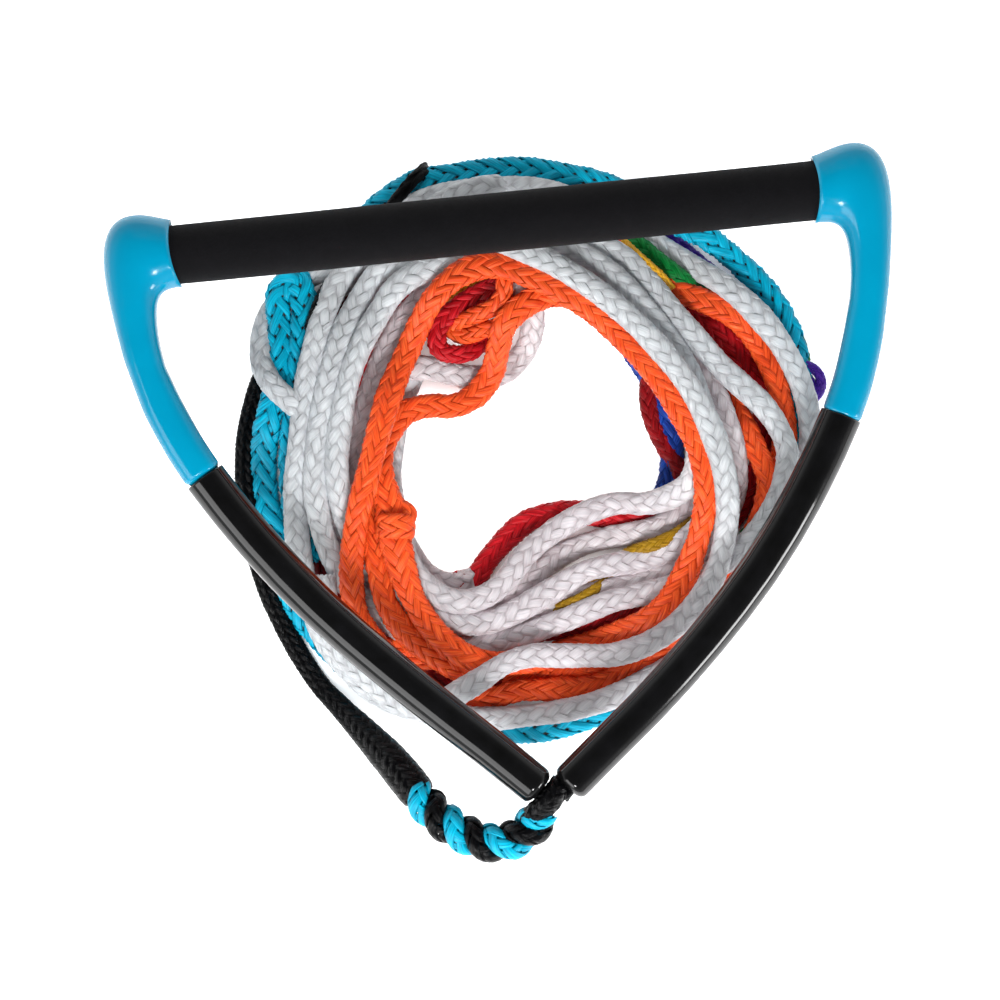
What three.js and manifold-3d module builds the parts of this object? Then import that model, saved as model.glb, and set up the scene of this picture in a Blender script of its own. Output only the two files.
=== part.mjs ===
// Water-ski tow handle with its rope lead and the coiled main line it is tied to.
// Millimetres. The coil rests on z = 0 and the handle lies on top of it. The origin is on the floor
// below the middle of the bar, +X runs along the bar, +Y points away from the throat of the bridle.
import * as THREE from "three";
import { mergeVertices } from "three/addons/utils/BufferGeometryUtils.js";
import Module from "manifold-3d";

const wasm = await Module();
wasm.setup();

// ---------------------------------------------------------------- driving dimensions
const BAR_Z = 57; // height of the bar's axis and of both arms
const GRIP_LENGTH = 320; // length of grip left bare between the caps
const GRIP_RADIUS = 15;
const GRIP_TUCK = 5; // grip hidden inside each cap's collar
const TUBE_RADIUS = 11;
const TUBE_BORE = 9;
const TUBE_HALF_LENGTH = 186;
const FIT = 0.3; // clearance of seated pieces
const ROPE_HOLE_X = 178; // where a bridle leg enters the tube
const LEG_RADIUS = 4; // bridle rope inside the arms
const LEG_CHANNEL = 4.8; // channel it runs in
const COLLAR_X = 158.5; // mouth of the end cap
const THROAT = new THREE.Vector3(-2, -295, BAR_Z);
const KNOT_RADIUS = 7.5;

const ROPE_HALF_WIDTH = 5.3; // the main line flattens a little where it lies in the coil
const ROPE_HALF_HEIGHT = 2.6;
const ROPE_GAP = 0.85; // between a rope and whatever it lies on
const RING_SPACING = 14; // along a rope
const JOIN_GAP = 0.35; // between two sections of one rope
const STEP = 2; // the pile is worked out every 2 mm along a rope
const SPREAD = 10; // steps over which a stiff rope rides over what is under it
const LAG = 24; // steps behind its end at which a rope counts as laid

// ---------------------------------------------------------------- materials
const finish = (color, roughness, metalness = 0) =>
  new THREE.MeshStandardMaterial({ color, roughness, metalness });
const MATERIALS = {
  capCyan: finish(0x00a2ca, 0.18),
  gripBlack: finish(0x17171a, 0.85),
  sleeveBlack: finish(0x08080a, 0.15),
  aluminium: finish(0xb4b7bb, 0.35, 1),
  plugFoam: finish(0x2b2b2e, 0.9),
  ropeBlack: finish(0x0d0d0f, 0.45),
  ropeCyan: finish(0x0296bd, 0.4),
  ropeWhite: finish(0xe9e9ee, 0.45),
  ropeOrange: finish(0xe8481f, 0.4),
  ropeRed: finish(0xb50d18, 0.4),
  ropeYellow: finish(0xe0a010, 0.4),
  ropeGreen: finish(0x0a7a30, 0.4),
  ropeBlue: finish(0x0b3a86, 0.4),
  ropeViolet: finish(0x4d1f96, 0.4),
};

const handle = new THREE.Group();
const add = (name, geometry, material) => {
  const mesh = new THREE.Mesh(geometry, material);
  mesh.name = name;
  handle.add(mesh);
  return mesh;
};

// ---------------------------------------------------------------- solids
// A closed skin over a row of sections, each an equally long ring of Vector3.
function loft(sections) {
  const sides = sections[0].length;
  const position = sections.flat().flatMap((p) => [p.x, p.y, p.z]);
  const index = [];
  for (let k = 0; k + 1 < sections.length; k++)
    for (let i = 0; i < sides; i++) {
      const a = k * sides + i;
      const b = k * sides + ((i + 1) % sides);
      index.push(a, b, b + sides, a, b + sides, a + sides);
    }
  const last = (sections.length - 1) * sides;
  for (let i = 1; i + 1 < sides; i++) {
    index.push(0, i + 1, i);
    index.push(last, last + i, last + i + 1);
  }
  const geometry = new THREE.BufferGeometry();
  geometry.setAttribute("position", new THREE.Float32BufferAttribute(position, 3));
  geometry.setIndex(index);
  geometry.computeVertexNormals();
  return geometry;
}

// A ring of radius r round p, square to direction, with one flat side facing down.
function ring(p, direction, r, sides) {
  const side = new THREE.Vector3(-direction.y, direction.x, 0).normalize();
  const up = new THREE.Vector3().crossVectors(direction, side).normalize();
  return Array.from({ length: sides }, (_, i) => {
    const a = (2 * Math.PI * (i + 0.5)) / sides - Math.PI / 2;
    return p
      .clone()
      .addScaledVector(side, r * Math.cos(a))
      .addScaledVector(up, r * Math.sin(a));
  });
}

// Rings along a row of points; radius is a number or a function of the share of the way along.
function sweep(points, radius, sides) {
  const r = typeof radius === "number" ? () => radius : radius;
  const last = points.length - 1;
  return loft(
    points.map((p, i) => {
      const direction = points[Math.min(i + 1, last)].clone().sub(points[Math.max(i - 1, 0)]);
      return ring(p, direction.normalize(), r(i / last), sides);
    }),
  );
}

const solid = (geometry) => {
  const bare = geometry.clone();
  bare.deleteAttribute("normal");
  bare.deleteAttribute("uv");
  const merged = mergeVertices(bare, 1e-3);
  const mesh = new wasm.Mesh({
    numProp: 3,
    vertProperties: new Float32Array(merged.attributes.position.array),
    triVerts: new Uint32Array(merged.index.array),
  });
  return new wasm.Manifold(mesh);
};

const surface = (body) => {
  const { vertProperties, triVerts } = body.getMesh();
  const geometry = new THREE.BufferGeometry();
  geometry.setAttribute("position", new THREE.Float32BufferAttribute(vertProperties, 3));
  geometry.setIndex(Array.from(triVerts));
  geometry.computeVertexNormals();
  return geometry;
};

const cut = (body, ...tools) =>
  surface(tools.reduce((left, tool) => left.subtract(solid(tool)), solid(body)));

// A cylinder along X from x0 to x1 on the bar's axis.
const barCylinder = (x0, x1, radius, sides) =>
  new THREE.CylinderGeometry(radius, radius, Math.abs(x1 - x0), sides)
    .rotateZ(Math.PI / 2)
    .translate((x0 + x1) / 2, 0, BAR_Z);

// Mirrors a geometry made for the +X side onto the side wanted.
const onSide = (geometry, side) => {
  if (side > 0) return geometry;
  geometry.scale(-1, 1, 1);
  const order = geometry.index.array;
  for (let i = 0; i < order.length; i += 3) [order[i + 1], order[i + 2]] = [order[i + 2], order[i + 1]];
  return geometry;
};

// ---------------------------------------------------------------- bar
function buildBar() {
  const wall = barCylinder(-TUBE_HALF_LENGTH, TUBE_HALF_LENGTH, TUBE_RADIUS, 24);
  const bore = barCylinder(-TUBE_HALF_LENGTH - 1, TUBE_HALF_LENGTH + 1, TUBE_BORE, 24);
  const ropeHole = (x) =>
    new THREE.CylinderGeometry(LEG_CHANNEL, LEG_CHANNEL, TUBE_RADIUS, 12).translate(x, -TUBE_RADIUS, BAR_Z);
  add("bar_tube", cut(wall, bore, ropeHole(ROPE_HOLE_X), ropeHole(-ROPE_HOLE_X)), MATERIALS.aluminium);

  const gripEnd = GRIP_LENGTH / 2 + GRIP_TUCK;
  const sleeve = barCylinder(-gripEnd, gripEnd, GRIP_RADIUS, 32);
  const through = barCylinder(-gripEnd - 1, gripEnd + 1, TUBE_RADIUS + FIT, 24);
  add("bar_grip", cut(sleeve, through), MATERIALS.gripBlack);
}

// ---------------------------------------------------------------- moulded end caps and arms
// Each rib of the cap is an ellipse: its inner and outer points in plan, and half its depth.
const CAP_RIBS = [
  { inner: [158.5, -16.6], outer: [158.5, 17.2], depth: 16.9 },
  { inner: [165.5, -16.8], outer: [166, 19.2], depth: 17 },
  { inner: [169.8, -18], outer: [174, 22.4], depth: 17 },
  { inner: [171.8, -20.6], outer: [183, 23.4], depth: 16.6 },
  { inner: [172.8, -24], outer: [191.5, 20.8], depth: 16 },
  { inner: [173.3, -28], outer: [196.8, 12.5], depth: 15.2 },
  { inner: [173.6, -33], outer: [198.4, 0], depth: 14.2 },
  { inner: [173.6, -39], outer: [197.6, -15], depth: 13 },
  { inner: [173, -46], outer: [195.4, -32], depth: 12 },
  { inner: [171.6, -55], outer: [192.6, -50], depth: 11.2 },
];

// Middle line of an arm on its way from the cap to the throat, with how far it bows out (right) or in (left).
const ARM_LINE = [
  { x: 176.4, y: -74, bow: 0.6 },
  { x: 166.8, y: -99, bow: 1.8 },
  { x: 153.8, y: -123, bow: 2.6 },
  { x: 133, y: -155, bow: 3.6 },
  { x: 108, y: -187, bow: 4.4 },
  { x: 77.8, y: -219, bow: 4.5 },
  { x: 45, y: -250, bow: 3.4 },
  { x: 22, y: -270, bow: 1.6 },
  { x: 9, y: -282.4, bow: 0.2 },
];
const ARM_RADIUS = 10.3; // moulded arm at the sleeve
const SLEEVE_RADIUS = 10.9;
const SLEEVE_END_RADIUS = 10.2;
const SPIGOT_RADIUS = 7.4;
const SPIGOT_LENGTH = 14;

const armCurve = (side) =>
  new THREE.CatmullRomCurve3(ARM_LINE.map(({ x, y, bow }) => new THREE.Vector3(x + side * bow, y, BAR_Z)));

// The point of a side's arm where the moulded cap ends and the sleeve begins, as a share of the curve.
const SLEEVE_START = 0.145;

const rib = ({ inner, outer, depth }, sides) => {
  const middle = new THREE.Vector3((inner[0] + outer[0]) / 2, (inner[1] + outer[1]) / 2, BAR_Z);
  const half = new THREE.Vector3((outer[0] - inner[0]) / 2, (outer[1] - inner[1]) / 2, 0);
  return Array.from({ length: sides }, (_, i) => {
    const a = (2 * Math.PI * (i + 0.5)) / sides;
    return middle
      .clone()
      .addScaledVector(half, Math.cos(a))
      .add(new THREE.Vector3(0, 0, depth * Math.sin(a)));
  });
};

// Sections square to the arm, in the same turning order as the ribs.
const armSection = (curve, t, radius, sides) => {
  const p = curve.getPointAt(t);
  const along = curve.getTangentAt(t);
  const outward = new THREE.Vector3(-along.y, along.x, 0);
  return Array.from({ length: sides }, (_, i) => {
    const a = (2 * Math.PI * (i + 0.5)) / sides;
    return p
      .clone()
      .addScaledVector(outward, radius * Math.cos(a))
      .add(new THREE.Vector3(0, 0, radius * Math.sin(a)));
  });
};

const shares = (from, to, count) =>
  Array.from({ length: count }, (_, i) => from + ((to - from) * i) / (count - 1));

function legPoints(curve) {
  const entry = [
    new THREE.Vector3(ROPE_HOLE_X, -KNOT_RADIUS - 1.4, BAR_Z),
    new THREE.Vector3(ROPE_HOLE_X + 1, -20, BAR_Z),
    new THREE.Vector3(183.4, -34, BAR_Z),
    new THREE.Vector3(182.3, -53, BAR_Z),
  ];
  const down = shares(0, 1, 9).map((t) => curve.getPointAt(t));
  return new THREE.CatmullRomCurve3([...entry, ...down]);
}

function buildLead() {
  const line = LEAD_LINE.map(([x, y, drop]) => new THREE.Vector3(x, y, Math.max(BAR_Z - drop, LEAD_TAIL_HEIGHT)));
  const curve = new THREE.CatmullRomCurve3(line, false, "centripetal");
  const length = curve.getLength();
  const ball = curve.getPointAt(BEND_SHARE);
  const clear = (BEND_RADIUS + 2 * JOIN_GAP) / length;
  const gap = JOIN_GAP / length;
  const section = (name, from, to, swell, material) => {
    const rings = Math.max(3, Math.ceil(((to - from) * length) / RING_SPACING) + 2);
    const ringAt = (t) => {
      const taper = THREE.MathUtils.smoothstep(t, 0.55, 1);
      const wide = THREE.MathUtils.lerp(LEAD_RADIUS, LEAD_TAIL_RADIUS, taper) * swell;
      const high = THREE.MathUtils.lerp(LEAD_RADIUS, LEAD_TAIL_HEIGHT, taper) * swell;
      const along = curve.getTangentAt(t);
      const outward = new THREE.Vector3(-along.y, along.x, 0).normalize();
      const up = new THREE.Vector3().crossVectors(along, outward);
      return Array.from({ length: 8 }, (_, i) => {
        const a = (2 * Math.PI * (i + 0.5)) / 8;
        return curve
          .getPointAt(t)
          .addScaledVector(outward, wide * Math.cos(a))
          .addScaledVector(up, high * Math.sin(a));
      });
    };
    add(name, loft(shares(from, to, rings).map(ringAt)), material);
  };
  const [first, second] = WRAP_SHARES;
  section("lead_wrap_1", first[0], first[1], 1.1, MATERIALS.ropeCyan);
  section("lead_splice", first[1] + gap, second[0] - gap, 1, MATERIALS.ropeBlack);
  section("lead_wrap_2", second[0], second[1], 1.1, MATERIALS.ropeCyan);
  section("lead_neck", second[1] + gap, BEND_SHARE - clear, 1, MATERIALS.ropeBlack);
  section("lead_body", BEND_SHARE + clear, 1 - 5 * gap, 1, MATERIALS.ropeBlack);
  const wrap = new THREE.SphereGeometry(BEND_RADIUS, 12, 8).translate(ball.x, ball.y, ball.z);
  add("lead_wrap_3", wrap, MATERIALS.ropeCyan);
  const knot = new THREE.SphereGeometry(KNOT_RADIUS, 10, 7).translate(THROAT.x, THROAT.y, THROAT.z);
  add("throat_knot", knot, MATERIALS.ropeBlack);
}

function buildSide(side) {
  const name = side > 0 ? "right" : "left";
  const sides = 14;
  const curve = armCurve(side);
  const leg = legPoints(curve);

  // Cap: ribs round the corner, then the arm down to the spigot the sleeve is pushed over.
  const spigotEnd = SLEEVE_START + SPIGOT_LENGTH / curve.getLength();
  const skin = loft([
    ...CAP_RIBS.map((r) => rib(r, sides)),
    ...shares(0, SLEEVE_START, 4).map((t) => armSection(curve, t, ARM_RADIUS, sides)),
    armSection(curve, SLEEVE_START + 0.0005, SPIGOT_RADIUS, sides),
    armSection(curve, spigotEnd, SPIGOT_RADIUS, sides),
  ]);
  const channelPoints = leg.getSpacedPoints(60).filter((p) => p.distanceTo(curve.getPointAt(spigotEnd)) < 152);
  const channel = sweep(channelPoints.filter((_, i) => i % 2 === 0), LEG_CHANNEL, 8);
  const seat = barCylinder(COLLAR_X - 1, GRIP_LENGTH / 2 + GRIP_TUCK + FIT, GRIP_RADIUS + FIT, 32);
  const socket = barCylinder(COLLAR_X, TUBE_HALF_LENGTH + FIT, TUBE_RADIUS + FIT, 24);
  add(`${name}_end_cap`, onSide(cut(skin, seat, socket, channel), side), MATERIALS.capCyan);

  // Sleeve: a smooth tube with a rounded end, bored for the rope and counterbored for the spigot.
  const length = curve.getLength();
  const round = SLEEVE_END_RADIUS * 0.8;
  const nose = (t) => {
    const left = (1 - t) * length;
    if (left >= round) return 1;
    return 0.42 + 0.58 * Math.sqrt(1 - (1 - left / round) ** 2);
  };
  const body = shares(SLEEVE_START + 0.002, 1 - round / length, 11);
  const tip = shares(1 - round / length, 1, 4).slice(1);
  const outside = loft(
    [...body, ...tip].map((t) => {
      const radius = THREE.MathUtils.lerp(SLEEVE_RADIUS, SLEEVE_END_RADIUS, t) * nose(t);
      return armSection(curve, t, radius, sides);
    }),
  );
  const bore = sweep(shares(0, 1, 13).map((t) => leg.getPointAt(0.15 + 0.85 * t)), LEG_CHANNEL, 8);
  const beyond = sweep([leg.getPointAt(0.98), leg.getPointAt(1).addScaledVector(leg.getTangentAt(1), 3)], LEG_CHANNEL, 8);
  const counterbore = loft(
    shares(SLEEVE_START - 0.002, spigotEnd + 0.0015, 4).map((t) => armSection(curve, t, SPIGOT_RADIUS + FIT, sides)),
  );
  add(`${name}_arm_sleeve`, onSide(cut(outside, bore, beyond, counterbore), side), MATERIALS.sleeveBlack);

  // Bridle leg, from the knot in the tube to the throat.
  const mirror = (p) => new THREE.Vector3(side * p.x, p.y, p.z);
  const end = mirror(leg.getPointAt(1));
  const toKnot = THROAT.clone().sub(end);
  const stop = end.clone().addScaledVector(toKnot, 1 - (KNOT_RADIUS + 1) / toKnot.length());
  const legPath = [...leg.getSpacedPoints(25).map(mirror), stop];
  add(`${name}_bridle_leg`, sweep(legPath, LEG_RADIUS, 6), MATERIALS.ropeBlack);

  const knot = new THREE.SphereGeometry(KNOT_RADIUS, 10, 7);
  add(`${name}_anchor_knot`, knot.translate(side * ROPE_HOLE_X, 0, BAR_Z), MATERIALS.ropeBlack);

  const plug = barCylinder(side * 140, side * 166, TUBE_BORE - FIT, 20);
  add(`${name}_bar_plug`, plug, MATERIALS.plugFoam);
}

// ---------------------------------------------------------------- ropes laid in a pile
// Height of the pile's top surface on a 1 mm grid.
const PILE = { left: -200, bottom: -345, columns: 400, rows: 420 };
const pileTop = new Float32Array(PILE.columns * PILE.rows);
const pileCell = (x, y) => Math.round(y - PILE.bottom) * PILE.columns + Math.round(x - PILE.left);

// Height of a six-sided rope section over its own middle, at a share of the half width from it.
const crown = (share) => 1 - Math.max(0, (Math.abs(share) - 0.5) / 0.5);

// Weights, adding up to one, that round off a stiff rope's rise and fall.
const BELL = Array.from({ length: 2 * SPREAD + 1 }, (_, k) => 1 + Math.cos((Math.PI * (k - SPREAD)) / (SPREAD + 1)));
const BLEND = BELL.map((weight) => weight / BELL.reduce((sum, w) => sum + w, 0));

function layRope(points, sizes) {
  const floorTouch = points.map(() => 0);
  const heights = points.map(() => 0);
  const sideOf = (i) => {
    const d = points[Math.min(i + 1, points.length - 1)].clone().sub(points[Math.max(i - 1, 0)]);
    return new THREE.Vector2(-d.y, d.x).normalize();
  };
  const across = (i, visit) => {
    const side = sideOf(i);
    const reach = sizes[i].width;
    for (let off = -reach; off <= reach; off += 0.7)
      visit(pileCell(points[i].x + side.x * off, points[i].y + side.y * off), crown(off / reach));
  };
  const need = (i) => {
    const { height } = sizes[i];
    floorTouch[i] = height;
    across(i, (cell, share) => {
      if (pileTop[cell] > 0)
        floorTouch[i] = Math.max(floorTouch[i], pileTop[cell] + ROPE_GAP + height * share);
    });
  };
  const clamped = (list, i) => list[Math.min(Math.max(i, 0), list.length - 1)];
  const range = (i) => Array.from({ length: 2 * SPREAD + 1 }, (_, k) => i - SPREAD + k);
  const settle = (i) => {
    const tops = range(i).map((k) => Math.max(...range(k).map((m) => clamped(floorTouch, m))));
    heights[i] = tops.reduce((sum, top, k) => sum + top * BLEND[k], 0);
    const { height } = sizes[i];
    across(i, (cell, share) => {
      pileTop[cell] = Math.max(pileTop[cell], heights[i] + height * share);
    });
  };
  for (let i = 0; i < points.length + LAG; i++) {
    if (i < points.length) need(i);
    if (i >= LAG) settle(i - LAG);
  }
  return heights;
}

// One length of rope made of sections that follow each other. Each section is its own node.
function layChain(sections) {
  const plan = sections.flatMap(({ path }) => path).map(([x, y]) => new THREE.Vector3(x, y, 0));
  const curve = new THREE.CatmullRomCurve3(plan, false, "centripetal");
  curve.arcLengthDivisions = plan.length * 40;
  const lengths = curve.getLengths();
  const length = lengths[lengths.length - 1];
  const shareAt = (k) => lengths[Math.round((k / (plan.length - 1)) * (lengths.length - 1))] / length;

  // Where the rings of each section stand along the rope.
  let used = 0;
  const pieces = sections.map((section, k) => {
    const from = shareAt(used) + (k ? JOIN_GAP / 2 / length : 0);
    used += section.path.length;
    const to = k + 1 < sections.length ? shareAt(used) - JOIN_GAP / 2 / length : 1;
    const rings = Math.max(3, Math.ceil(((to - from) * length) / RING_SPACING) + 1);
    return { section, stations: shares(from, to, rings).map((share) => ({ share, at: 0 })) };
  });

  // Fine steps on the straight stretches between rings, for working out how high the rope lies.
  const points = [];
  const sizes = [];
  const stations = pieces.flatMap((piece) => piece.stations.map((station) => ({ station, piece })));
  stations.forEach(({ station, piece }, k) => {
    const here = curve.getPointAt(station.share);
    station.at = points.length;
    const next = k + 1 < stations.length ? curve.getPointAt(stations[k + 1].station.share) : here;
    const steps = Math.max(1, Math.round(here.distanceTo(next) / STEP));
    const { swell = 1 } = piece.section;
    for (let i = 0; i < (k + 1 < stations.length ? steps : 1); i++) {
      const p = here.clone().lerp(next, i / steps);
      points.push(new THREE.Vector2(p.x, p.y));
      sizes.push({ width: ROPE_HALF_WIDTH * swell, height: ROPE_HALF_HEIGHT * swell });
    }
  });
  const heights = layRope(points, sizes);
  pieces.forEach(({ section, stations: own }) => {
    const rings = own.map(({ share, at }) => flatRing(curve, share, heights[at], sizes[at]));
    add(section.name, loft(rings), section.material);
  });
}

// A six-sided ring, flat above and below, square in plan to the rope's line.
function flatRing(curve, share, z, { width, height }) {
  const along = curve.getTangentAt(share);
  const outward = new THREE.Vector3(-along.y, along.x, 0);
  const corners = [[1, 0], [0.5, 1], [-0.5, 1], [-1, 0], [-0.5, -1], [0.5, -1]];
  return corners.map(([u, v]) =>
    curve
      .getPointAt(share)
      .addScaledVector(outward, u * width)
      .add(new THREE.Vector3(0, 0, z + v * height)),
  );
}

// ---------------------------------------------------------------- the coil, from the floor up
const { ropeBlack, ropeCyan, ropeWhite, ropeOrange, ropeRed, ropeYellow, ropeGreen, ropeBlue, ropeViolet } =
  MATERIALS;

// Thick black lead from the throat down to the floor, bound with three cyan wraps. The third wrap is a
// ball that the rest of the lead turns on.
const LEAD_LINE = [
  [-10, -300, 4], [-22, -308, 6], [-36, -308.5, 10], [-49, -302, 14], [-60, -293, 18], [-70, -279, 25],
  [-79, -266, 32], [-90, -252, 40], [-100, -240, 47], [-108, -230, 52], [-113, -224, BAR_Z]]; // x, y, drop
const LEAD_RADIUS = 7.8;
const LEAD_TAIL_RADIUS = 4.6;
const LEAD_TAIL_HEIGHT = 2.1; // half the height of the thin tail lying on the floor
const BEND_RADIUS = 9.2; // ball under the third wrap
const BEND_SHARE = 0.41; // its place along the lead
const WRAP_SHARES = [[0.035, 0.125], [0.225, 0.305]];

// Tail of the black lead, under the left arm and under the coil to the hitch.
const LEAD_TAIL = [
  { name: "lead_tail", material: ropeBlack, swell: 0.8, path: [
    [-113, -224], [-122, -207], [-129, -190], [-135, -172], [-140, -146], [-141, -118], [-139, -98], [-134, -80],
    [-126, -62], [-112, -44], [-94, -30], [-78, -12], [-66, 2]] },
];

// Far end of the line: one turn of each short coloured section, from the outside in.
const FAR_END = [
  { name: "line_violet", material: ropeViolet, path: [
    [-30, 21], [0, 24], [40, 18], [84, -6], [122, -42], [146, -72], [154, -98], [148, -130], [126, -168],
    [90, -204], [48, -230], [4, -241], [-44, -235], [-84, -212], [-108, -176], [-114, -134], [-110, -94],
    [-98, -56], [-76, -22], [-42, 6]] },
  { name: "line_green", material: ropeGreen, path: [
    [0, 12], [38, 6], [66, -13], [93, -38], [122, -64], [140, -92], [142, -120], [132, -146]] },
  { name: "line_orange_inner", material: ropeOrange, path: [
    [112, -172], [80, -202], [44, -222], [2, -229], [-42, -223], [-78, -202], [-97, -170], [-103, -130],
    [-99, -92], [-87, -57], [-64, -26], [-36, -7]] },
  { name: "line_red", material: ropeRed, path: [
    [-8, 0], [8, 0], [38, -7], [72, -28], [100, -54], [120, -82], [127, -106], [122, -134], [102, -162],
    [72, -188], [38, -203], [2, -207], [-38, -204], [-70, -186], [-87, -156], [-91, -122], [-87, -88],
    [-75, -57], [-54, -31], [-28, -16]] },
  { name: "line_yellow", material: ropeYellow, path: [
    [0, -12], [34, -19], [62, -40], [84, -64], [98, -91], [103, -116], [98, -142], [82, -164], [56, -180],
    [26, -190], [-4, -195], [-34, -191], [-59, -174], [-75, -148], [-79, -118], [-75, -88], [-63, -61],
    [-45, -39], [-22, -26]] },
  { name: "line_blue", material: ropeBlue, path: [
    [2, -24.5], [30, -33], [52, -53], [68, -78], [77, -104], [77, -128]] },
  { name: "line_dark_red", material: ropeRed, path: [
    [66, -151], [44, -152], [22, -148], [1, -150.5], [-16.5, -163], [-34, -179], [-53, -173], [-63, -154],
    [-67, -130], [-66, -104], [-58, -82]] },
];

// White end that sticks out of the coil on the left.
const WHITE_TAIL = [
  { name: "line_white_tail", material: ropeWhite, path: [
    [-82, -10], [-100, -16], [-115, -27], [-124, -42], [-126, -56], [-121, -69], [-113, -78]] },
];

// Handle end of the line: from the hitch once round the outside, then doubled back on the left.
const HANDLE_END = [
  { name: "hitch", material: ropeBlack, swell: 1.25, path: [[-60, 14], [-49, 21], [-38, 25.5]] },
  { name: "line_cyan", material: ropeCyan, path: [
    [-24, 28.5], [0, 29.5], [24, 27], [44, 21.5], [62, 14], [88, -3], [108, -17], [126, -36],
    [139, -56], [145, -80], [144, -114], [136, -150], [118, -185], [92, -215], [62, -236], [36, -248],
    [4, -257], [-26, -254], [-58, -243], [-90, -222], [-112, -198], [-125, -172], [-129, -145], [-131, -118],
    [-129, -98], [-123, -78], [-116, -58], [-115, -36]] },
  { name: "line_cyan_bight", material: ropeCyan, path: [
    [-114, -22], [-108, -14], [-102, -22], [-103, -40], [-107, -62], [-112, -84], [-116, -108], [-117, -132],
    [-112, -160]] },
];

const ORANGE_FIRST = [
  { name: "line_orange_outer", material: ropeOrange, path: [
    [-30, 8], [0, 14], [34, 4], [60, -18], [80, -37], [98, -46], [114, -56], [126, -70], [134, -94], [135, -122],
    [124, -152], [104, -184], [78, -211], [52, -229], [22, -238], [-12, -236], [-40, -240], [-66, -233],
    [-86, -214]] },
];

// Orange strand that shows between the white turns on the right.
const ORANGE_RIGHT = [
  { name: "line_orange_right", material: ropeOrange, path: [
    [74, -50], [88, -66], [103, -87], [112, -106], [120, -126], [124, -146], [116, -168]] },
];

// Lower white turns, each a full circle of the coil.
const WHITE_LOWER = [
  { name: "line_white_1", material: ropeWhite, path: [
    [-28, -6], [0, 3], [28, -6], [52, -22], [74, -46], [92, -74], [104, -102], [109, -128], [105, -152],
    [88, -174], [60, -186], [20, -192], [-12, -200], [-46, -200], [-76, -182], [-94, -152], [-100, -120],
    [-96, -90], [-84, -58], [-66, -32], [-42, -14]] },
  { name: "line_white_2", material: ropeWhite, path: [
    [-16, -12], [2, -9], [24, -18], [46, -37], [67, -63], [83, -92], [91, -120], [87, -146], [67, -160],
    [40, -163], [16, -169], [-8, -184], [-36, -192], [-62, -176], [-78, -146], [-82, -118], [-77, -90],
    [-66, -62], [-48, -38], [-30, -24]] },
];

// Upper white turns, from the outside in.
const WHITE_UPPER = [
  { name: "line_white_3", material: ropeWhite, path: [
    [-64, 6], [-34, 18], [0, 20], [32, 14], [60, 0], [90, -24], [118, -46], [138, -74], [148, -106],
    [145, -138], [128, -174], [100, -206], [66, -231], [30, -245], [-8, -249], [-46, -246], [-84, -230],
    [-108, -200], [-116, -165], [-116, -130], [-111, -100], [-104, -70], [-93, -38], [-76, -12]] },
  { name: "line_white_4", material: ropeWhite, path: [
    [-46, -2], [-20, 8], [10, 8], [40, -6], [66, -26], [86, -54], [108, -84], [128, -108], [135, -130],
    [124, -158], [100, -180], [70, -191], [40, -195], [8, -204], [-24, -210], [-56, -206], [-84, -186],
    [-101, -156], [-105, -124], [-100, -94], [-91, -64], [-77, -36], [-58, -14]] },
  { name: "line_white_5", material: ropeWhite, path: [
    [-36, -12], [-10, -4], [14, -6], [42, -24], [66, -52], [84, -82], [94, -110], [99, -138], [88, -162],
    [60, -175], [30, -178], [6, -188], [-22, -199], [-52, -194], [-76, -172], [-90, -144], [-93, -116],
    [-88, -88], [-78, -60], [-64, -38], [-48, -22]] },
  { name: "line_white_6", material: ropeWhite, path: [
    [-14, -16], [10, -17], [34, -35], [60, -61], [79, -90], [89, -117], [87, -136], [68, -147], [44, -146],
    [21, -153], [0, -165.5], [-20, -184], [-42, -187], [-58, -172], [-66, -148], [-67, -120], [-61, -94],
    [-50, -70]] },
];

// Loops that hang into the middle of the coil.
const INNER_LOOPS = [
  { name: "line_red_loop", material: ropeRed, swell: 0.8, path: [
    [20, -31], [-6, -31], [-22, -38], [-35, -48], [-37, -60], [-26, -66], [-16, -58]] },
  { name: "line_white_loop", material: ropeWhite, swell: 0.8, path: [
    [-54, -66], [-40, -68], [-26, -73], [-10, -75], [4, -68], [12, -56], [13, -42], [8, -30]] },
  { name: "line_orange_mid", material: ropeOrange, path: [
    [-40, -224], [-57, -211], [-68, -198], [-75, -184], [-77, -166], [-77, -148], [-72, -130]] },
];

// Orange turn on top of the coil, with a knot where it doubles into a loose loop.
const ORANGE_TOP = [
  { name: "line_orange_loop", material: ropeOrange, path: [
    [34, -46], [20, -41], [6, -43], [-3, -54], [-8, -70], [-17, -82], [-30, -88], [-44, -87], [-57, -90],
    [-66, -100], [-71, -114], [-70, -127]] },
  { name: "orange_knot", material: ropeOrange, swell: 1.4, path: [[-68, -136], [-68, -145], [-67, -154]] },
  { name: "line_orange_top", material: ropeOrange, path: [
    [-65, -168], [-60, -186], [-49, -205], [-32, -218], [-6, -221], [18, -217], [44, -211], [65, -201],
    [78, -184], [87, -164], [92, -144], [90, -121], [79, -95], [59, -64], [37, -42], [14, -27], [-4, -19.5],
    [-20, -22], [-36, -34], [-50, -56], [-61, -76], [-70, -98], [-77, -118], [-86, -144], [-91, -168],
    [-90, -190], [-78, -212]] },
];

const WHITE_TOP = [
  { name: "line_white_top", material: ropeWhite, path: [
    [-40, 6], [-12, -2], [20, -18], [49, -40], [74, -68], [93, -101], [102, -138], [99, -168], [88, -193],
    [66, -213], [40, -222], [12, -220], [-12, -219], [-38, -231], [-64, -240], [-88, -222], [-104, -198],
    [-105, -168]] },
];

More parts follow.
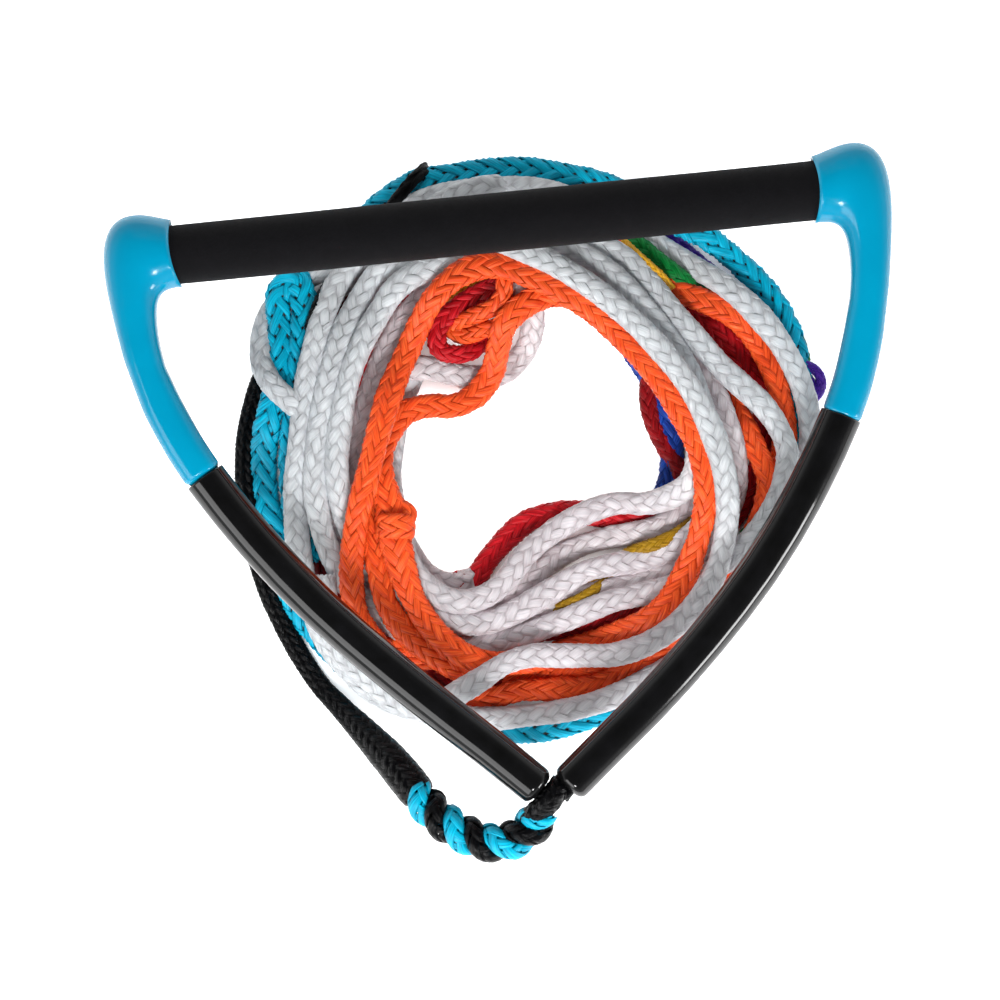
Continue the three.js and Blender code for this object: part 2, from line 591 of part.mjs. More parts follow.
layChain(LEAD_TAIL);
buildLead();
layChain(FAR_END);
layChain(WHITE_TAIL);
layChain(HANDLE_END);
layChain(ORANGE_FIRST);
layChain(ORANGE_RIGHT);
layChain(WHITE_LOWER);
layChain(WHITE_UPPER);
INNER_LOOPS.forEach((section) => layChain([section]));
layChain(ORANGE_TOP);
layChain(WHITE_TOP);

buildBar();
buildSide(1);
buildSide(-1);

export default handle;
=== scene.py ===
"""Looks for the tow rope handle: braided rope, moulded caps, sleeves and grip built round the CAD frame."""
import math

import bpy
import numpy as np
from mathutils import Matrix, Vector
from mathutils.bvhtree import BVHTree


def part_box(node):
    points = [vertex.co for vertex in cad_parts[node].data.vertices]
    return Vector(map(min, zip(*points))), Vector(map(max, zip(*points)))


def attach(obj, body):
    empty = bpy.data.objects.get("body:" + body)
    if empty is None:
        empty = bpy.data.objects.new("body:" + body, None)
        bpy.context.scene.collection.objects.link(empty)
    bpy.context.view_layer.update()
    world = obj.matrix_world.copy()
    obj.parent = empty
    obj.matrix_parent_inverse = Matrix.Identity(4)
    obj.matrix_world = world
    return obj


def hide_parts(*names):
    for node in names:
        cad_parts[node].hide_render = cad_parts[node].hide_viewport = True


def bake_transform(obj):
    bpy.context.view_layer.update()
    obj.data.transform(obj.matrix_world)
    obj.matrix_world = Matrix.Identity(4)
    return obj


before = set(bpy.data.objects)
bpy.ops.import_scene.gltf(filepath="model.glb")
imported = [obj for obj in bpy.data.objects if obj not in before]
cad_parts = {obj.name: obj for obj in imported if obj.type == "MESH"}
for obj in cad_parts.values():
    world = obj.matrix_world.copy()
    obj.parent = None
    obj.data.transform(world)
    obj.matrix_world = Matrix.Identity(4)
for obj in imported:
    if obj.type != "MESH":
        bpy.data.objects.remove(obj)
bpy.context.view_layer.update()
MM = 0.001  # metres
TAU = 2 * math.pi


# ---- reading shapes back from the frame
def welded(node):
    """Vertices (mm) and triangles of a CAD node, with doubled vertices joined."""
    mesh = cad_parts[node].data
    mesh.calc_loop_triangles()
    flat = np.empty(len(mesh.vertices) * 3)
    mesh.vertices.foreach_get("co", flat)
    corners = np.empty(len(mesh.loop_triangles) * 3, dtype=np.int64)
    mesh.loop_triangles.foreach_get("vertices", corners)
    points, index = np.unique(np.round(flat.reshape(-1, 3) / MM, 3), axis=0, return_inverse=True)
    triangles = index.reshape(-1)[corners].reshape(-1, 3)
    return points, [t for t in triangles if len(set(t)) == 3]


def end_cap(points, triangles, sides, steepest):
    """The vertices of one flat end of a swept rod: a flat patch with as many corners as the rod has sides.

    steepest is the largest upward share of the patch's normal.
    """
    normals = []
    by_edge = {}
    for k, (a, b, c) in enumerate(triangles):
        n = np.cross(points[b] - points[a], points[c] - points[a])
        normals.append(n / max(np.linalg.norm(n), 1e-9))
        for edge in ((a, b), (b, c), (c, a)):
            by_edge.setdefault(frozenset(edge), []).append(k)
    flat = 0.99995  # cosine between the normals of triangles in one flat patch
    patch = list(range(len(triangles)))

    def root(k):
        while patch[k] != k:
            k = patch[k]
        return k

    for pair in by_edge.values():
        if len(pair) == 2 and normals[pair[0]] @ normals[pair[1]] > flat:
            patch[root(pair[0])] = root(pair[1])
    groups = {}
    for k in range(len(triangles)):
        groups.setdefault(root(k), []).append(k)
    for members in groups.values():
        corners = {v for k in members for v in triangles[k]}
        level = abs(normals[members[0]][2])
        if len(members) == sides - 2 and len(corners) == sides and level < steepest:
            return corners
    raise ValueError("no flat end found")


def ring_line(node, sides=6, steepest=0.35):
    """Centres, half widths and half heights (mm) of the rings that a rod-like CAD node is made of."""
    points, triangles = welded(node)
    near = {}
    for a, b, c in triangles:
        near.setdefault(a, set()).update((b, c))
        near.setdefault(b, set()).update((a, c))
        near.setdefault(c, set()).update((a, b))
    ring = end_cap(points, triangles, sides, steepest)
    seen = set()
    rows = []
    while ring:
        seen |= ring
        p = points[sorted(ring)]
        centre = p.mean(0)
        half_height = (p[:, 2].max() - p[:, 2].min()) / 2
        half_width = np.linalg.norm((p - centre)[:, :2], axis=1).max()
        rows.append([*centre, half_width, half_height])
        ring = {n for v in ring for n in near[v]} - seen
    return np.array(rows)


def joined(nodes):
    """The ring lines of rods that follow each other, end to end."""
    line = ring_line(nodes[0])
    for node in nodes[1:]:
        more = ring_line(node)
        gaps = [np.linalg.norm(line[i, :3] - more[j, :3]) for i in (-1, 0) for j in (0, -1)]
        best = int(np.argmin(gaps))
        if best >= 2:
            line = line[::-1]
        if best % 2:
            more = more[::-1]
        line = np.vstack([line[:-1], (line[-1:] + more[:1]) / 2, more[1:]])
    return line


def turned(rows, column, rising):
    """The rows in the order in which a column rises, or falls, from the first row to the last."""
    wrong = rows[0, column] > rows[-1, column] if rising else rows[0, column] < rows[-1, column]
    return rows[::-1] if wrong else rows


def centre_of(node):
    """The middle of a CAD node's box, in mm."""
    low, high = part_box(node)
    return np.array((low + high) / 2) / MM


def smooth_line(rows, step):
    """A smooth curve through the rows, sampled about every step mm. Columns after the third ride along."""
    gaps = np.linalg.norm(np.diff(rows[:, :3], axis=0), axis=1)
    knots = np.concatenate([[0], np.cumsum(np.maximum(gaps, 1e-3))])
    slopes = np.gradient(rows, knots, axis=0)
    at = np.linspace(0, knots[-1], max(4, int(knots[-1] / step)))
    k = np.clip(np.searchsorted(knots, at, side="right") - 1, 0, len(knots) - 2)
    width = (knots[k + 1] - knots[k])[:, None]
    t = (at - knots[k])[:, None] / width
    start = (1 + 2 * t) * (1 - t) ** 2 * rows[k] + t * (1 - t) ** 2 * width * slopes[k]
    end = t * t * (3 - 2 * t) * rows[k + 1] + t * t * (t - 1) * width * slopes[k + 1]
    return start + end


class Course:
    """The course of a rope: centre line, sideways and upward directions, and its half sizes."""

    def __init__(self, rows, step=1.0, up=(0, 0, 1)):
        fine = smooth_line(rows, step)
        self.centre = fine[:, :3]
        self.wide = fine[:, 3]
        self.high = fine[:, 4]
        self.s = np.concatenate([[0], np.cumsum(np.linalg.norm(np.diff(self.centre, axis=0), axis=1))])
        along = np.gradient(self.centre, self.s, axis=0)
        along /= np.linalg.norm(along, axis=1)[:, None]
        side = np.cross(np.array(up), along)
        side /= np.linalg.norm(side, axis=1)[:, None]
        self.along = along
        self.side = side
        self.up = np.cross(along, side)
        self.twist = None

    @property
    def length(self):
        return self.s[-1]

    def at(self, s, values):
        """values, a column or columns along the course, read at the lengths s."""
        if values.ndim == 1:
            return np.interp(s, self.s, values)
        return np.stack([np.interp(s, self.s, values[:, k]) for k in range(values.shape[1])], axis=-1)

    def place(self, s):
        """Points of the centre line, carried on straight past either end."""
        inside = self.at(s, self.centre)
        before = np.minimum(s, 0)[..., None] * self.along[0]
        after = np.maximum(s - self.length, 0)[..., None] * self.along[-1]
        return inside + before + after


# ---- mesh helpers
def mesh_object(name, points, quads, extra_faces=(), fibre=None):
    """A mesh object (points in mm) from an array of quads and a list of other faces."""
    mesh = bpy.data.meshes.new(name)
    faces = quads.tolist() + [list(f) for f in extra_faces]
    mesh.from_pydata((points * MM).tolist(), [], faces)
    if fibre is not None:
        layer = mesh.attributes.new("fibre", "FLOAT_VECTOR", "POINT")
        layer.data.foreach_set("vector", fibre.astype(np.float32).ravel())
    mesh.shade_smooth()
    obj = bpy.data.objects.new(name, mesh)
    bpy.context.scene.collection.objects.link(obj)
    return obj


def tube_faces(rows, around, first=0):
    """Quads round a tube of rows x around vertices, and its two end faces."""
    r = np.arange(rows - 1)[:, None]
    c = np.arange(around)[None, :]
    a = first + r * around + c
    b = first + r * around + (c + 1) % around
    quads = np.stack([a, b, b + around, a + around], axis=-1).reshape(-1, 4)
    ends = [
        [first + k for k in range(around)][::-1],
        [first + (rows - 1) * around + k for k in range(around)],
    ]
    return quads, ends


# ---- braided rope
def oval(turn, wide, high, squareness):
    """Point and outward normal of a squarish oval at the turn (0 to 1), evenly spaced along its edge."""
    table = np.linspace(0, TAU, 721)  # every half degree
    c, s = np.cos(table), np.sin(table)
    mean_wide, mean_high = float(np.mean(wide)), float(np.mean(high))
    x = mean_wide * np.sign(c) * np.abs(c) ** squareness
    y = mean_high * np.sign(s) * np.abs(s) ** squareness
    edge = np.concatenate([[0], np.cumsum(np.hypot(np.diff(x), np.diff(y)))])
    angle = np.interp(turn % 1.0, edge / edge[-1], table)
    c, s = np.cos(angle), np.sin(angle)
    px = np.sign(c) * np.abs(c) ** squareness
    py = np.sign(s) * np.abs(s) ** squareness
    nx, ny = c / mean_wide, s / mean_high
    size = np.hypot(nx, ny)
    return px * wide, py * high, nx / size, ny / size


# section of a flat strand: place across it and rise, as shares of its breadth and thickness
RIBBON = np.array([
    (-0.5, 0.0), (-0.36, 0.36), (0.0, 0.5), (0.36, 0.36), (0.5, 0.0), (0.3, -0.4), (-0.3, -0.4),
])
WANDER_EVERY = 22  # mm of rope between changes in a strand's width
WANDER_WIDTH = 0.09
WANDER_THICKNESS = 0.12
FIBRE_SHIFT = 37.0  # mm, so that no two strands show the same fibres


def braid(name, course, strands, lay, ribbon, thick, seed, spacing=1.5, squareness=0.85, puff=1.0, fill=None):
    """A two-over-two braid of flat strands along a course. lay is the length of one turn of a strand.

    fill, where given, is how far a plain inner tube lies under the middle of the strands.
    """
    half = strands // 2
    shift = 0.25 - 0.75 / half
    rng = np.random.default_rng(seed)
    count = max(6, int(course.length / spacing))
    s = np.linspace(0, course.length, count)
    girth = TAU * math.sqrt((course.wide.mean() ** 2 + course.high.mean() ** 2) / 2) * puff
    slant = math.atan2(girth, lay)
    points, fibres, quads, ends = [], [], [], []
    across = len(RIBBON)
    for k in range(strands):
        way = 1 if k % 2 == 0 else -1
        turn = (k // 2) / half + way * s / lay + shift
        twisted = 0.0 if course.twist is None else np.interp(s, course.s, course.twist)
        column = np.cos(math.pi * (turn - shift) * half - math.pi / 4)
        lift = way * column * thick * 0.5
        # a slow wander in each strand's width and thickness
        changes = max(3, int(course.length / WANDER_EVERY))
        wander = np.interp(s, np.linspace(0, course.length, changes), rng.normal(0, 1, changes))
        breadth = ribbon * (1 + WANDER_WIDTH * wander)
        u = RIBBON[:, 0][None, :] * breadth[:, None]
        ring_s = s[:, None] - way * u * math.sin(slant)
        ring_turn = (turn + twisted)[:, None] + u * math.cos(slant) / girth
        rise = lift[:, None] + RIBBON[:, 1][None, :] * thick * (1 + WANDER_THICKNESS * wander[:, None])
        clamped = np.clip(ring_s, 0, course.length)
        wide = course.at(clamped, course.wide) * puff - thick
        high = course.at(clamped, course.high) * puff - thick
        px, py, nx, ny = oval(ring_turn, wide, high, squareness)
        side = course.at(clamped, course.side)
        up = course.at(clamped, course.up)
        p = course.place(ring_s) + side * (px + nx * rise)[..., None] + up * (py + ny * rise)[..., None]
        first = k * count * across
        q, e = tube_faces(count, across, first)
        if way < 0:
            q = q[:, ::-1]
            e = [f[::-1] for f in e]
        quads.append(q)
        ends += e
        points.append(p.reshape(-1, 3))
        fibre = np.stack([
            np.repeat((s / math.cos(slant) + FIBRE_SHIFT * k)[:, None], across, axis=1),
            np.repeat(np.linspace(0, 1, across)[None, :], count, axis=0),
            np.full((count, across), k + 0.5 * rng.random()),
        ], axis=-1)
        fibres.append(fibre.reshape(-1, 3))
    if fill is not None:
        around = 28
        turn = np.arange(around)[None, :] / around + np.zeros((count, 1))
        wide = (course.at(s, course.wide) * puff - thick - fill)[:, None]
        high = (course.at(s, course.high) * puff - thick - fill)[:, None]
        px, py, _, _ = oval(turn, wide, high, squareness)
        side = course.at(s, course.side)[:, None]
        up = course.at(s, course.up)[:, None]
        p = course.place(s)[:, None] + side * px[..., None] + up * py[..., None]
        q, e = tube_faces(count, around, strands * count * across)
        quads.append(q)
        ends += e
        points.append(p.reshape(-1, 3))
        fibre = np.stack([s[:, None] + 0 * turn, 8 * turn, 0 * turn + strands + 1.0], axis=-1)
        fibres.append(fibre.reshape(-1, 3))
    return mesh_object(name, np.vstack(points), np.vstack(quads), ends, np.vstack(fibres))


# ---- materials
def new_material(name):
    """A material with only a shader: the material, its nodes, what links them, and the shader."""
    material = bpy.data.materials.new(name)
    material.use_nodes = True
    nodes = material.node_tree.nodes
    nodes.clear()
    out = nodes.new("ShaderNodeOutputMaterial")
    shader = nodes.new("ShaderNodeBsdfPrincipled")
    link = material.node_tree.links.new
    link(shader.outputs["BSDF"], out.inputs["Surface"])
    return material, nodes, link, shader


def put(node, **values):
    """Sets a node's inputs; an underscore in a name stands for a space."""
    for name, value in values.items():
        node.inputs[name.replace("_", " ")].default_value = value


def noise(nodes, link, vector, scale, detail=3.0, rough=0.55):
    """Cloudy noise, 0 to 1."""
    node = nodes.new("ShaderNodeTexNoise")
    put(node, Scale=scale, Detail=detail, Roughness=rough)
    link(vector, node.inputs["Vector"])
    return node.outputs["Fac"]


def ramp(nodes, link, value, stops):
    """A colour for each value, from stops of (value, colour), where a grey is one number."""
    node = nodes.new("ShaderNodeValToRGB")
    elements = node.color_ramp.elements
    while len(elements) < len(stops):
        elements.new(0.5)
    for element, (place, colour) in zip(elements, stops):
        element.position = place
        element.color = (*colour, 1) if isinstance(colour, tuple) else (colour, colour, colour, 1)
    link(value, node.inputs["Fac"])
    return node.outputs["Color"]


def bump(nodes, link, height, strength, distance, before=None):
    """Fine relief from a height, on top of an earlier relief where one is given."""
    node = nodes.new("ShaderNodeBump")
    put(node, Strength=strength, Distance=distance)
    link(height, node.inputs["Height"])
    if before is not None:
        link(before, node.inputs["Normal"])
    return node.outputs["Normal"]


def object_coordinates(nodes):
    return nodes.new("ShaderNodeTexCoord").outputs["Object"]


def multiplied(nodes, link, first, second, share):
    """The first colour times the second, by a share of the way."""
    mix = nodes.new("ShaderNodeMix")
    mix.data_type = "RGBA"
    mix.blend_type = "MULTIPLY"
    put(mix, Factor=share)
    link(first, mix.inputs["A"])
    link(second, mix.inputs["B"])
    return mix.outputs["Result"]


def rope_material(name, dark, middle, light, rough=0.42, through=0.0, gloss=0.35, painted_red_bounce=False, relief=1.0):
    """Polyethylene fibre: fine streaks along each strand, painted shade in the low parts of the broad relief,
    patches of wear, and on white rope where asked, painted red bounce light.
    """
    material, nodes, link, shader = new_material(name)
    fibre = nodes.new("ShaderNodeAttribute")
    fibre.attribute_name = "fibre"
    split = nodes.new("ShaderNodeSeparateXYZ")
    link(fibre.outputs["Vector"], split.inputs[0])

    def stretched(along, across):
        apart = 7.3  # keeps the strands' streaks apart
        join = nodes.new("ShaderNodeCombineXYZ")
        for axis, factor in (("X", along), ("Y", across), ("Z", apart)):
            times = nodes.new("ShaderNodeMath")
            times.operation = "MULTIPLY"
            link(split.outputs[axis], times.inputs[0])
            times.inputs[1].default_value = factor
            link(times.outputs[0], join.inputs[axis])
        return join.outputs[0]

    fine = noise(nodes, link, stretched(0.09, 22.0), 1.0, 2.0, 0.6)
    broad = noise(nodes, link, stretched(0.05, 5.0), 1.0, 2.0, 0.5)
    patch = noise(nodes, link, object_coordinates(nodes), 38.0, 2.0, 0.5)
    streaks = ramp(nodes, link, fine, [(0.28, dark), (0.5, middle), (0.72, light)])
    # painted shade: darker where the broad relief is low, from the same noise as the broad bump
    groove_painted_shade = ramp(nodes, link, broad, [(0.3, 0.72), (0.6, 1.0)])
    wear = ramp(nodes, link, patch, [(0.35, 0.8), (0.65, 1.0)])
    colour = multiplied(nodes, link, streaks, groove_painted_shade, 0.6)
    colour = multiplied(nodes, link, colour, wear, 0.35)
    if painted_red_bounce:
        # painted red bounce light: white rope is tinted pink near the red lengths that it lies among on the
        # coil's near side
        red_lengths = (0.014, -0.176, 0.01)
        away = nodes.new("ShaderNodeVectorMath")
        away.operation = "DISTANCE"
        link(object_coordinates(nodes), away.inputs[0])
        away.inputs[1].default_value = red_lengths
        fade = nodes.new("ShaderNodeMapRange")
        link(away.outputs["Value"], fade.inputs["Value"])
        put(fade, From_Min=0.045, From_Max=0.105)
        bounce_tint = ramp(nodes, link, fade.outputs[0], [(0.0, (1.0, 0.87, 0.89)), (1.0, (0.98, 0.99, 1.0))])
        colour = multiplied(nodes, link, colour, bounce_tint, 1.0)
    link(colour, shader.inputs["Base Color"])
    grain = bump(nodes, link, fine, 0.6, 0.0003 * relief)
    link(bump(nodes, link, broad, 0.5, 0.0006 * relief, grain), shader.inputs["Normal"])
    put(shader, Roughness=rough, Specular_IOR_Level=gloss)
    if through:
        put(shader, Subsurface_Weight=through, Subsurface_Radius=(1.0, 0.85, 0.85), Subsurface_Scale=0.004)
    return material


CLEAR = {"through": 0.6, "gloss": 0.4}  # light goes some way into undyed fibre
DEEP = {"gloss": 0.25}
# name, then the dark, middle and light colour of the fibres, then settings; the darker copies, for lengths
# deep in the pile, are painted shade, and the pinkish white one is also painted red bounce light
FIBRES = [
    ("rope_black", (0.0005, 0.0005, 0.0006), (0.0012, 0.0012, 0.0015), (0.004, 0.004, 0.005),
     {"rough": 0.24, "gloss": 0.2, "relief": 3.0}),
    ("rope_cyan", (0.0, 0.16, 0.26), (0.0, 0.33, 0.50), (0.0, 0.50, 0.72), {"gloss": 0.3}),
    ("rope_white", (0.76, 0.76, 0.80), (0.90, 0.90, 0.93), (0.99, 0.98, 1.0), {**CLEAR, "painted_red_bounce": True}),
    # painted shade and painted red bounce light: a darker, pinkish white for lengths deep in the pile
    ("rope_white_painted_shade", (0.74, 0.58, 0.61), (0.90, 0.76, 0.79), (0.99, 0.90, 0.93), CLEAR),
    ("rope_orange", (0.50, 0.025, 0.006), (0.80, 0.075, 0.012), (0.98, 0.17, 0.04),
     {"rough": 0.40, "through": 0.15}),
    ("rope_red", (0.18, 0.001, 0.003), (0.42, 0.004, 0.009), (0.72, 0.02, 0.03),
     {"rough": 0.40, "through": 0.1}),
    ("rope_yellow", (0.42, 0.19, 0.004), (0.72, 0.36, 0.01), (0.9, 0.55, 0.08), {}),
    ("rope_green", (0.0, 0.05, 0.006), (0.0, 0.15, 0.025), (0.015, 0.34, 0.07), {}),
    # painted shade: darker red and yellow for lengths deep in the pile
    ("rope_red_low", (0.07, 0.0, 0.001), (0.17, 0.001, 0.003), (0.34, 0.006, 0.01), DEEP),
    ("rope_yellow_low", (0.12, 0.06, 0.001), (0.26, 0.14, 0.003), (0.45, 0.26, 0.02), DEEP),
    ("rope_blue", (0.001, 0.010, 0.09), (0.002, 0.03, 0.24), (0.02, 0.10, 0.5), {}),
    ("rope_violet", (0.02, 0.003, 0.1), (0.06, 0.009, 0.3), (0.18, 0.05, 0.58), {}),
]
ROPES = {name: rope_material(name, *colours, **settings) for name, *colours, settings in FIBRES}


def cap_plastic():
    """Moulded cyan plastic, glossy and slightly clouded."""
    material, nodes, link, shader = new_material("cap_cyan")
    place = object_coordinates(nodes)
    cloud = noise(nodes, link, place, 22.0, 2.0)
    colour = ramp(nodes, link, cloud, [(0.3, (0.0, 0.205, 0.345)), (0.7, (0.0, 0.23, 0.38))])
    link(colour, shader.inputs["Base Color"])
    rough = ramp(nodes, link, noise(nodes, link, place, 160.0, 4.0), [(0.35, 0.10), (0.7, 0.2)])
    link(rough, shader.inputs["Roughness"])
    link(bump(nodes, link, noise(nodes, link, place, 900.0, 2.0), 0.06, 0.0002), shader.inputs["Normal"])
    put(shader, Coat_Weight=0.15, Coat_Roughness=0.06, Specular_IOR_Level=0.3)
    put(shader, Subsurface_Weight=0.12, Subsurface_Radius=(0.2, 0.8, 1.0), Subsurface_Scale=0.002)
    return material


def sleeve_plastic():
    """Polished black tube."""
    material, nodes, link, shader = new_material("sleeve_black")
    place = object_coordinates(nodes)
    cloud = noise(nodes, link, place, 60.0)
    colour = ramp(nodes, link, cloud, [(0.3, 0.0022), (0.7, (0.0045, 0.0045, 0.005))])
    link(colour, shader.inputs["Base Color"])
    wear = noise(nodes, link, place, 130.0, 5.0)
    rough = ramp(nodes, link, wear, [(0.35, 0.07), (0.7, 0.13)])
    link(rough, shader.inputs["Roughness"])
    link(bump(nodes, link, noise(nodes, link, place, 500.0, 3.0), 0.03, 0.0002), shader.inputs["Normal"])
    return material


def grip_suede():
    """Black suede-like foam with a fine nap."""
    material, nodes, link, shader = new_material("grip_suede")
    place = object_coordinates(nodes)
    nap = noise(nodes, link, place, 2600.0, 4.0, 0.7)
    cloud = noise(nodes, link, place, 90.0, 4.0, 0.6)
    colour = ramp(nodes, link, nap, [(0.3, (0.0016, 0.0016, 0.002)), (0.7, (0.006, 0.0058, 0.007))])
    tone = ramp(nodes, link, cloud, [(0.3, 0.7), (0.7, 1.0)])
    link(multiplied(nodes, link, colour, tone, 0.7), shader.inputs["Base Color"])
    put(shader, Roughness=0.85, Sheen_Weight=0.04, Sheen_Roughness=0.5, Specular_IOR_Level=0.12)
    link(bump(nodes, link, nap, 0.55, 0.0004), shader.inputs["Normal"])
    return material


def satin_aluminium():
    """Drawn aluminium, faintly streaked."""
    material, nodes, link, shader = new_material("bar_aluminium")
    place = object_coordinates(nodes)
    streak = noise(nodes, link, place, 400.0, 3.0)
    colour = ramp(nodes, link, streak, [(0.3, (0.6, 0.61, 0.63)), (0.7, (0.74, 0.75, 0.77))])
    link(colour, shader.inputs["Base Color"])
    link(ramp(nodes, link, streak, [(0.3, 0.25), (0.7, 0.4)]), shader.inputs["Roughness"])
    put(shader, Metallic=1.0)
    return material


def plug_foam():
    """Dark closed-cell foam."""
    material, nodes, link, shader = new_material("plug_foam")
    place = object_coordinates(nodes)
    cells = nodes.new("ShaderNodeTexVoronoi")
    put(cells, Scale=900.0)
    link(place, cells.inputs["Vector"])
    colour = ramp(nodes, link, cells.outputs["Distance"], [(0.1, 0.012), (0.6, 0.04)])
    link(colour, shader.inputs["Base Color"])
    put(shader, Roughness=0.9)
    link(bump(nodes, link, cells.outputs["Distance"], 0.5, 0.0005), shader.inputs["Normal"])
    return material


CAP = cap_plastic()
SLEEVE = sleeve_plastic()
SUEDE = grip_suede()
ALUMINIUM = satin_aluminium()
FOAM = plug_foam()


def finish_piece(obj, material, body, nodes=()):
    """Gives a piece its material and, where the body is a name, its body.

    A body given as (near, far, start, end), with the last two in mm, is not used, beyond leaving the piece
    unattached with its transform baked into the mesh.
    """
    obj.data.materials.append(material)
    if isinstance(body, str):
        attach(obj, body)
    else:
        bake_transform(obj)
    if nodes:
        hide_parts(*nodes)
    return obj


def finish_rope(obj, slot, body, nodes=()):
    return finish_piece(obj, ROPES[slot], body, nodes)


# ---- handle
def blur(values, sigma, wrap=False):
    """values smoothed along axis 0, or round axis 1 when wrap is set."""
    size = int(3 * sigma) + 1
    kernel = np.exp(-0.5 * (np.arange(-size, size + 1) / sigma) ** 2)
    kernel /= kernel.sum()
    axis = 1 if wrap else 0
    pads = [(0, 0)] * values.ndim
    pads[axis] = (size, size)
    padded = np.pad(values, pads, mode="wrap" if wrap else "edge")
    length = values.shape[axis]
    total = np.zeros_like(values)
    for k, weight in enumerate(kernel):
        total += weight * (padded[:, k:k + length] if wrap else padded[k:k + length])
    return total


def solid_of(node):
    """A CAD node (mm) that rays can be cast against."""
    points, triangles = welded(node)
    return BVHTree.FromPolygons([Vector(p) for p in points], [list(map(int, t)) for t in triangles])


def reach_of(tree, centre, direction):
    """How far the solid reaches from a point in a direction, or None when it isn't there."""
    outside = 90  # mm, beyond any cap or sleeve
    start = Vector(centre) + Vector(direction) * outside
    hit = tree.ray_cast(start, -Vector(direction))
    return None if hit[0] is None else outside - hit[3]


def cross_sections(tree, seeds, sides):
    """Middle, half width and half height of the solid where the planes through the seeds cut it."""
    rows = []
    for seed, side in zip(seeds, sides):
        outer = reach_of(tree, seed, side)
        inner = reach_of(tree, seed, -side)
        if outer is None or inner is None:
            continue
        middle = seed + side * (outer - inner) / 2
        high = reach_of(tree, middle, (0, 0, 1))
        if high is None:
            continue
        rows.append([*middle, *side, (outer + inner) / 2, high])
    return np.array(rows)


def shell(name, rows, around, square, start_rings, end_rings, bend=None):
    """A closed loft through oval sections. The extra rings (along, wider) close it inwards at either end."""
    a = TAU * np.arange(around) / around
    c, s = np.cos(a), np.sin(a)
    middle, side, wide, high = rows[:, :3], rows[:, 3:6], rows[:, 6], rows[:, 7]
    forward = np.gradient(middle, axis=0)
    forward /= np.linalg.norm(forward, axis=1)[:, None]
    square = np.broadcast_to(square, wide.shape)

    def ring(r, along, wider):
        out = np.sign(c) * np.abs(c) ** square[r] * (wide[r] + wider)
        rise = np.sign(s) * np.abs(s) ** square[r] * (high[r] + wider)
        p = middle[r] + forward[r] * along + side[r] * out[:, None]
        p[:, 2] += rise
        return p

    rings = [ring(0, along, wider) for along, wider in reversed(start_rings)]
    rings += [ring(r, 0, 0) for r in range(len(rows))]
    rings += [ring(len(rows) - 1, along, wider) for along, wider in end_rings]
    if bend is not None:
        bend(rings, a)
    quads, ends = tube_faces(len(rings), around)
    return mesh_object(name, np.vstack(rings), quads, ends)


bar_height = (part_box("bar_grip")[0].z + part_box("bar_grip")[1].z) / 2 / MM
grip_radius = (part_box("bar_grip")[1].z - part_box("bar_grip")[0].z) / 2 / MM


def leg_line(side):
    """The middle line of an arm, from inside the cap to the throat, as the bridle rope inside it runs."""
    return turned(ring_line(f"{side}_bridle_leg"), 1, rising=False)


ARM_STEP = 1.5  # mm between sections down an arm


def arm_planes(side, top, bottom):
    """Seed points down an arm between two heights of Y, with the direction across it."""
    course = Course(leg_line(side), ARM_STEP)
    keep = (course.centre[:, 1] < top) & (course.centre[:, 1] > bottom)
    across = course.side[keep]
    across = across * np.sign(across[:, :1] * course.centre[keep][:, :1])
    return course.centre[keep], across


def build_cap(side):
    """The moulded cap: a collar round the grip that turns a corner into the arm."""
    node = f"{side}_end_cap"
    tree = solid_of(node)
    way = 1 if side == "right" else -1
    low = np.array(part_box(node)[0]) / MM
    just_over_grip = Vector((0, 0, bar_height + grip_radius + 1.2))
    mouth = tree.ray_cast(just_over_grip, Vector((way, 0, 0)))[0].x
    # sections fan out round a pivot south of the collar, from the bar's direction to the arm's
    corner = 57.0
    pivot = np.array([mouth, -corner, bar_height])
    inner = 36.0
    collar_ends = 45
    seeds, sides = [], []
    for degrees in np.arange(89.7, -12, -1.8):
        turn = math.radians(degrees)
        side_way = np.array([way * math.cos(turn), math.sin(turn), 0])
        if degrees > collar_ends:
            depth = corner
        else:
            depth = inner + (corner - inner) * max(degrees, 0) / collar_ends
        seeds.append(pivot + side_way * depth)
        sides.append(side_way)
    arm_seeds, arm_sides = arm_planes(side, -66, low[1])
    seeds += list(arm_seeds)
    sides += list(arm_sides)
    rows = cross_sections(tree, seeds, sides)
    narrowest = 9.2
    rows = rows[rows[:, 6] > narrowest]
    ends = rows[[0, -1]].copy()
    rows = blur(rows, 2.2)
    rows[0, :3] = ends[0, :3]
    rows[-1, :3] = ends[1, :3]
    rows[:, 3:6] /= np.linalg.norm(rows[:, 3:6], axis=1)[:, None]
    # round at the collar, a little squarer from a third of the way down
    down = np.linspace(0, 1, len(rows))
    square = 1.0 - 0.22 * np.clip(down / 0.35, 0, 1)

    def saddle(rings, a):
        """The collar's mouth dips on the faces above and below the bar."""
        dip = 3.4
        faded = 21
        for r in range(faded):
            share = (1 - r / faded) ** 1.5
            rings[r][:, 0] += way * dip * share * np.sin(a) ** 2

    start = [(0.1, -0.45), (0.7, -0.95), (1.6, -1.2), (4.0, -1.3)]
    finish = [(1.5, -0.05), (2.5, -0.6), (4.5, -2.0)]
    obj = shell(f"{side}_cap_shell", rows, 96, square, start, finish, saddle)
    return finish_piece(obj, CAP, "handle", [node])


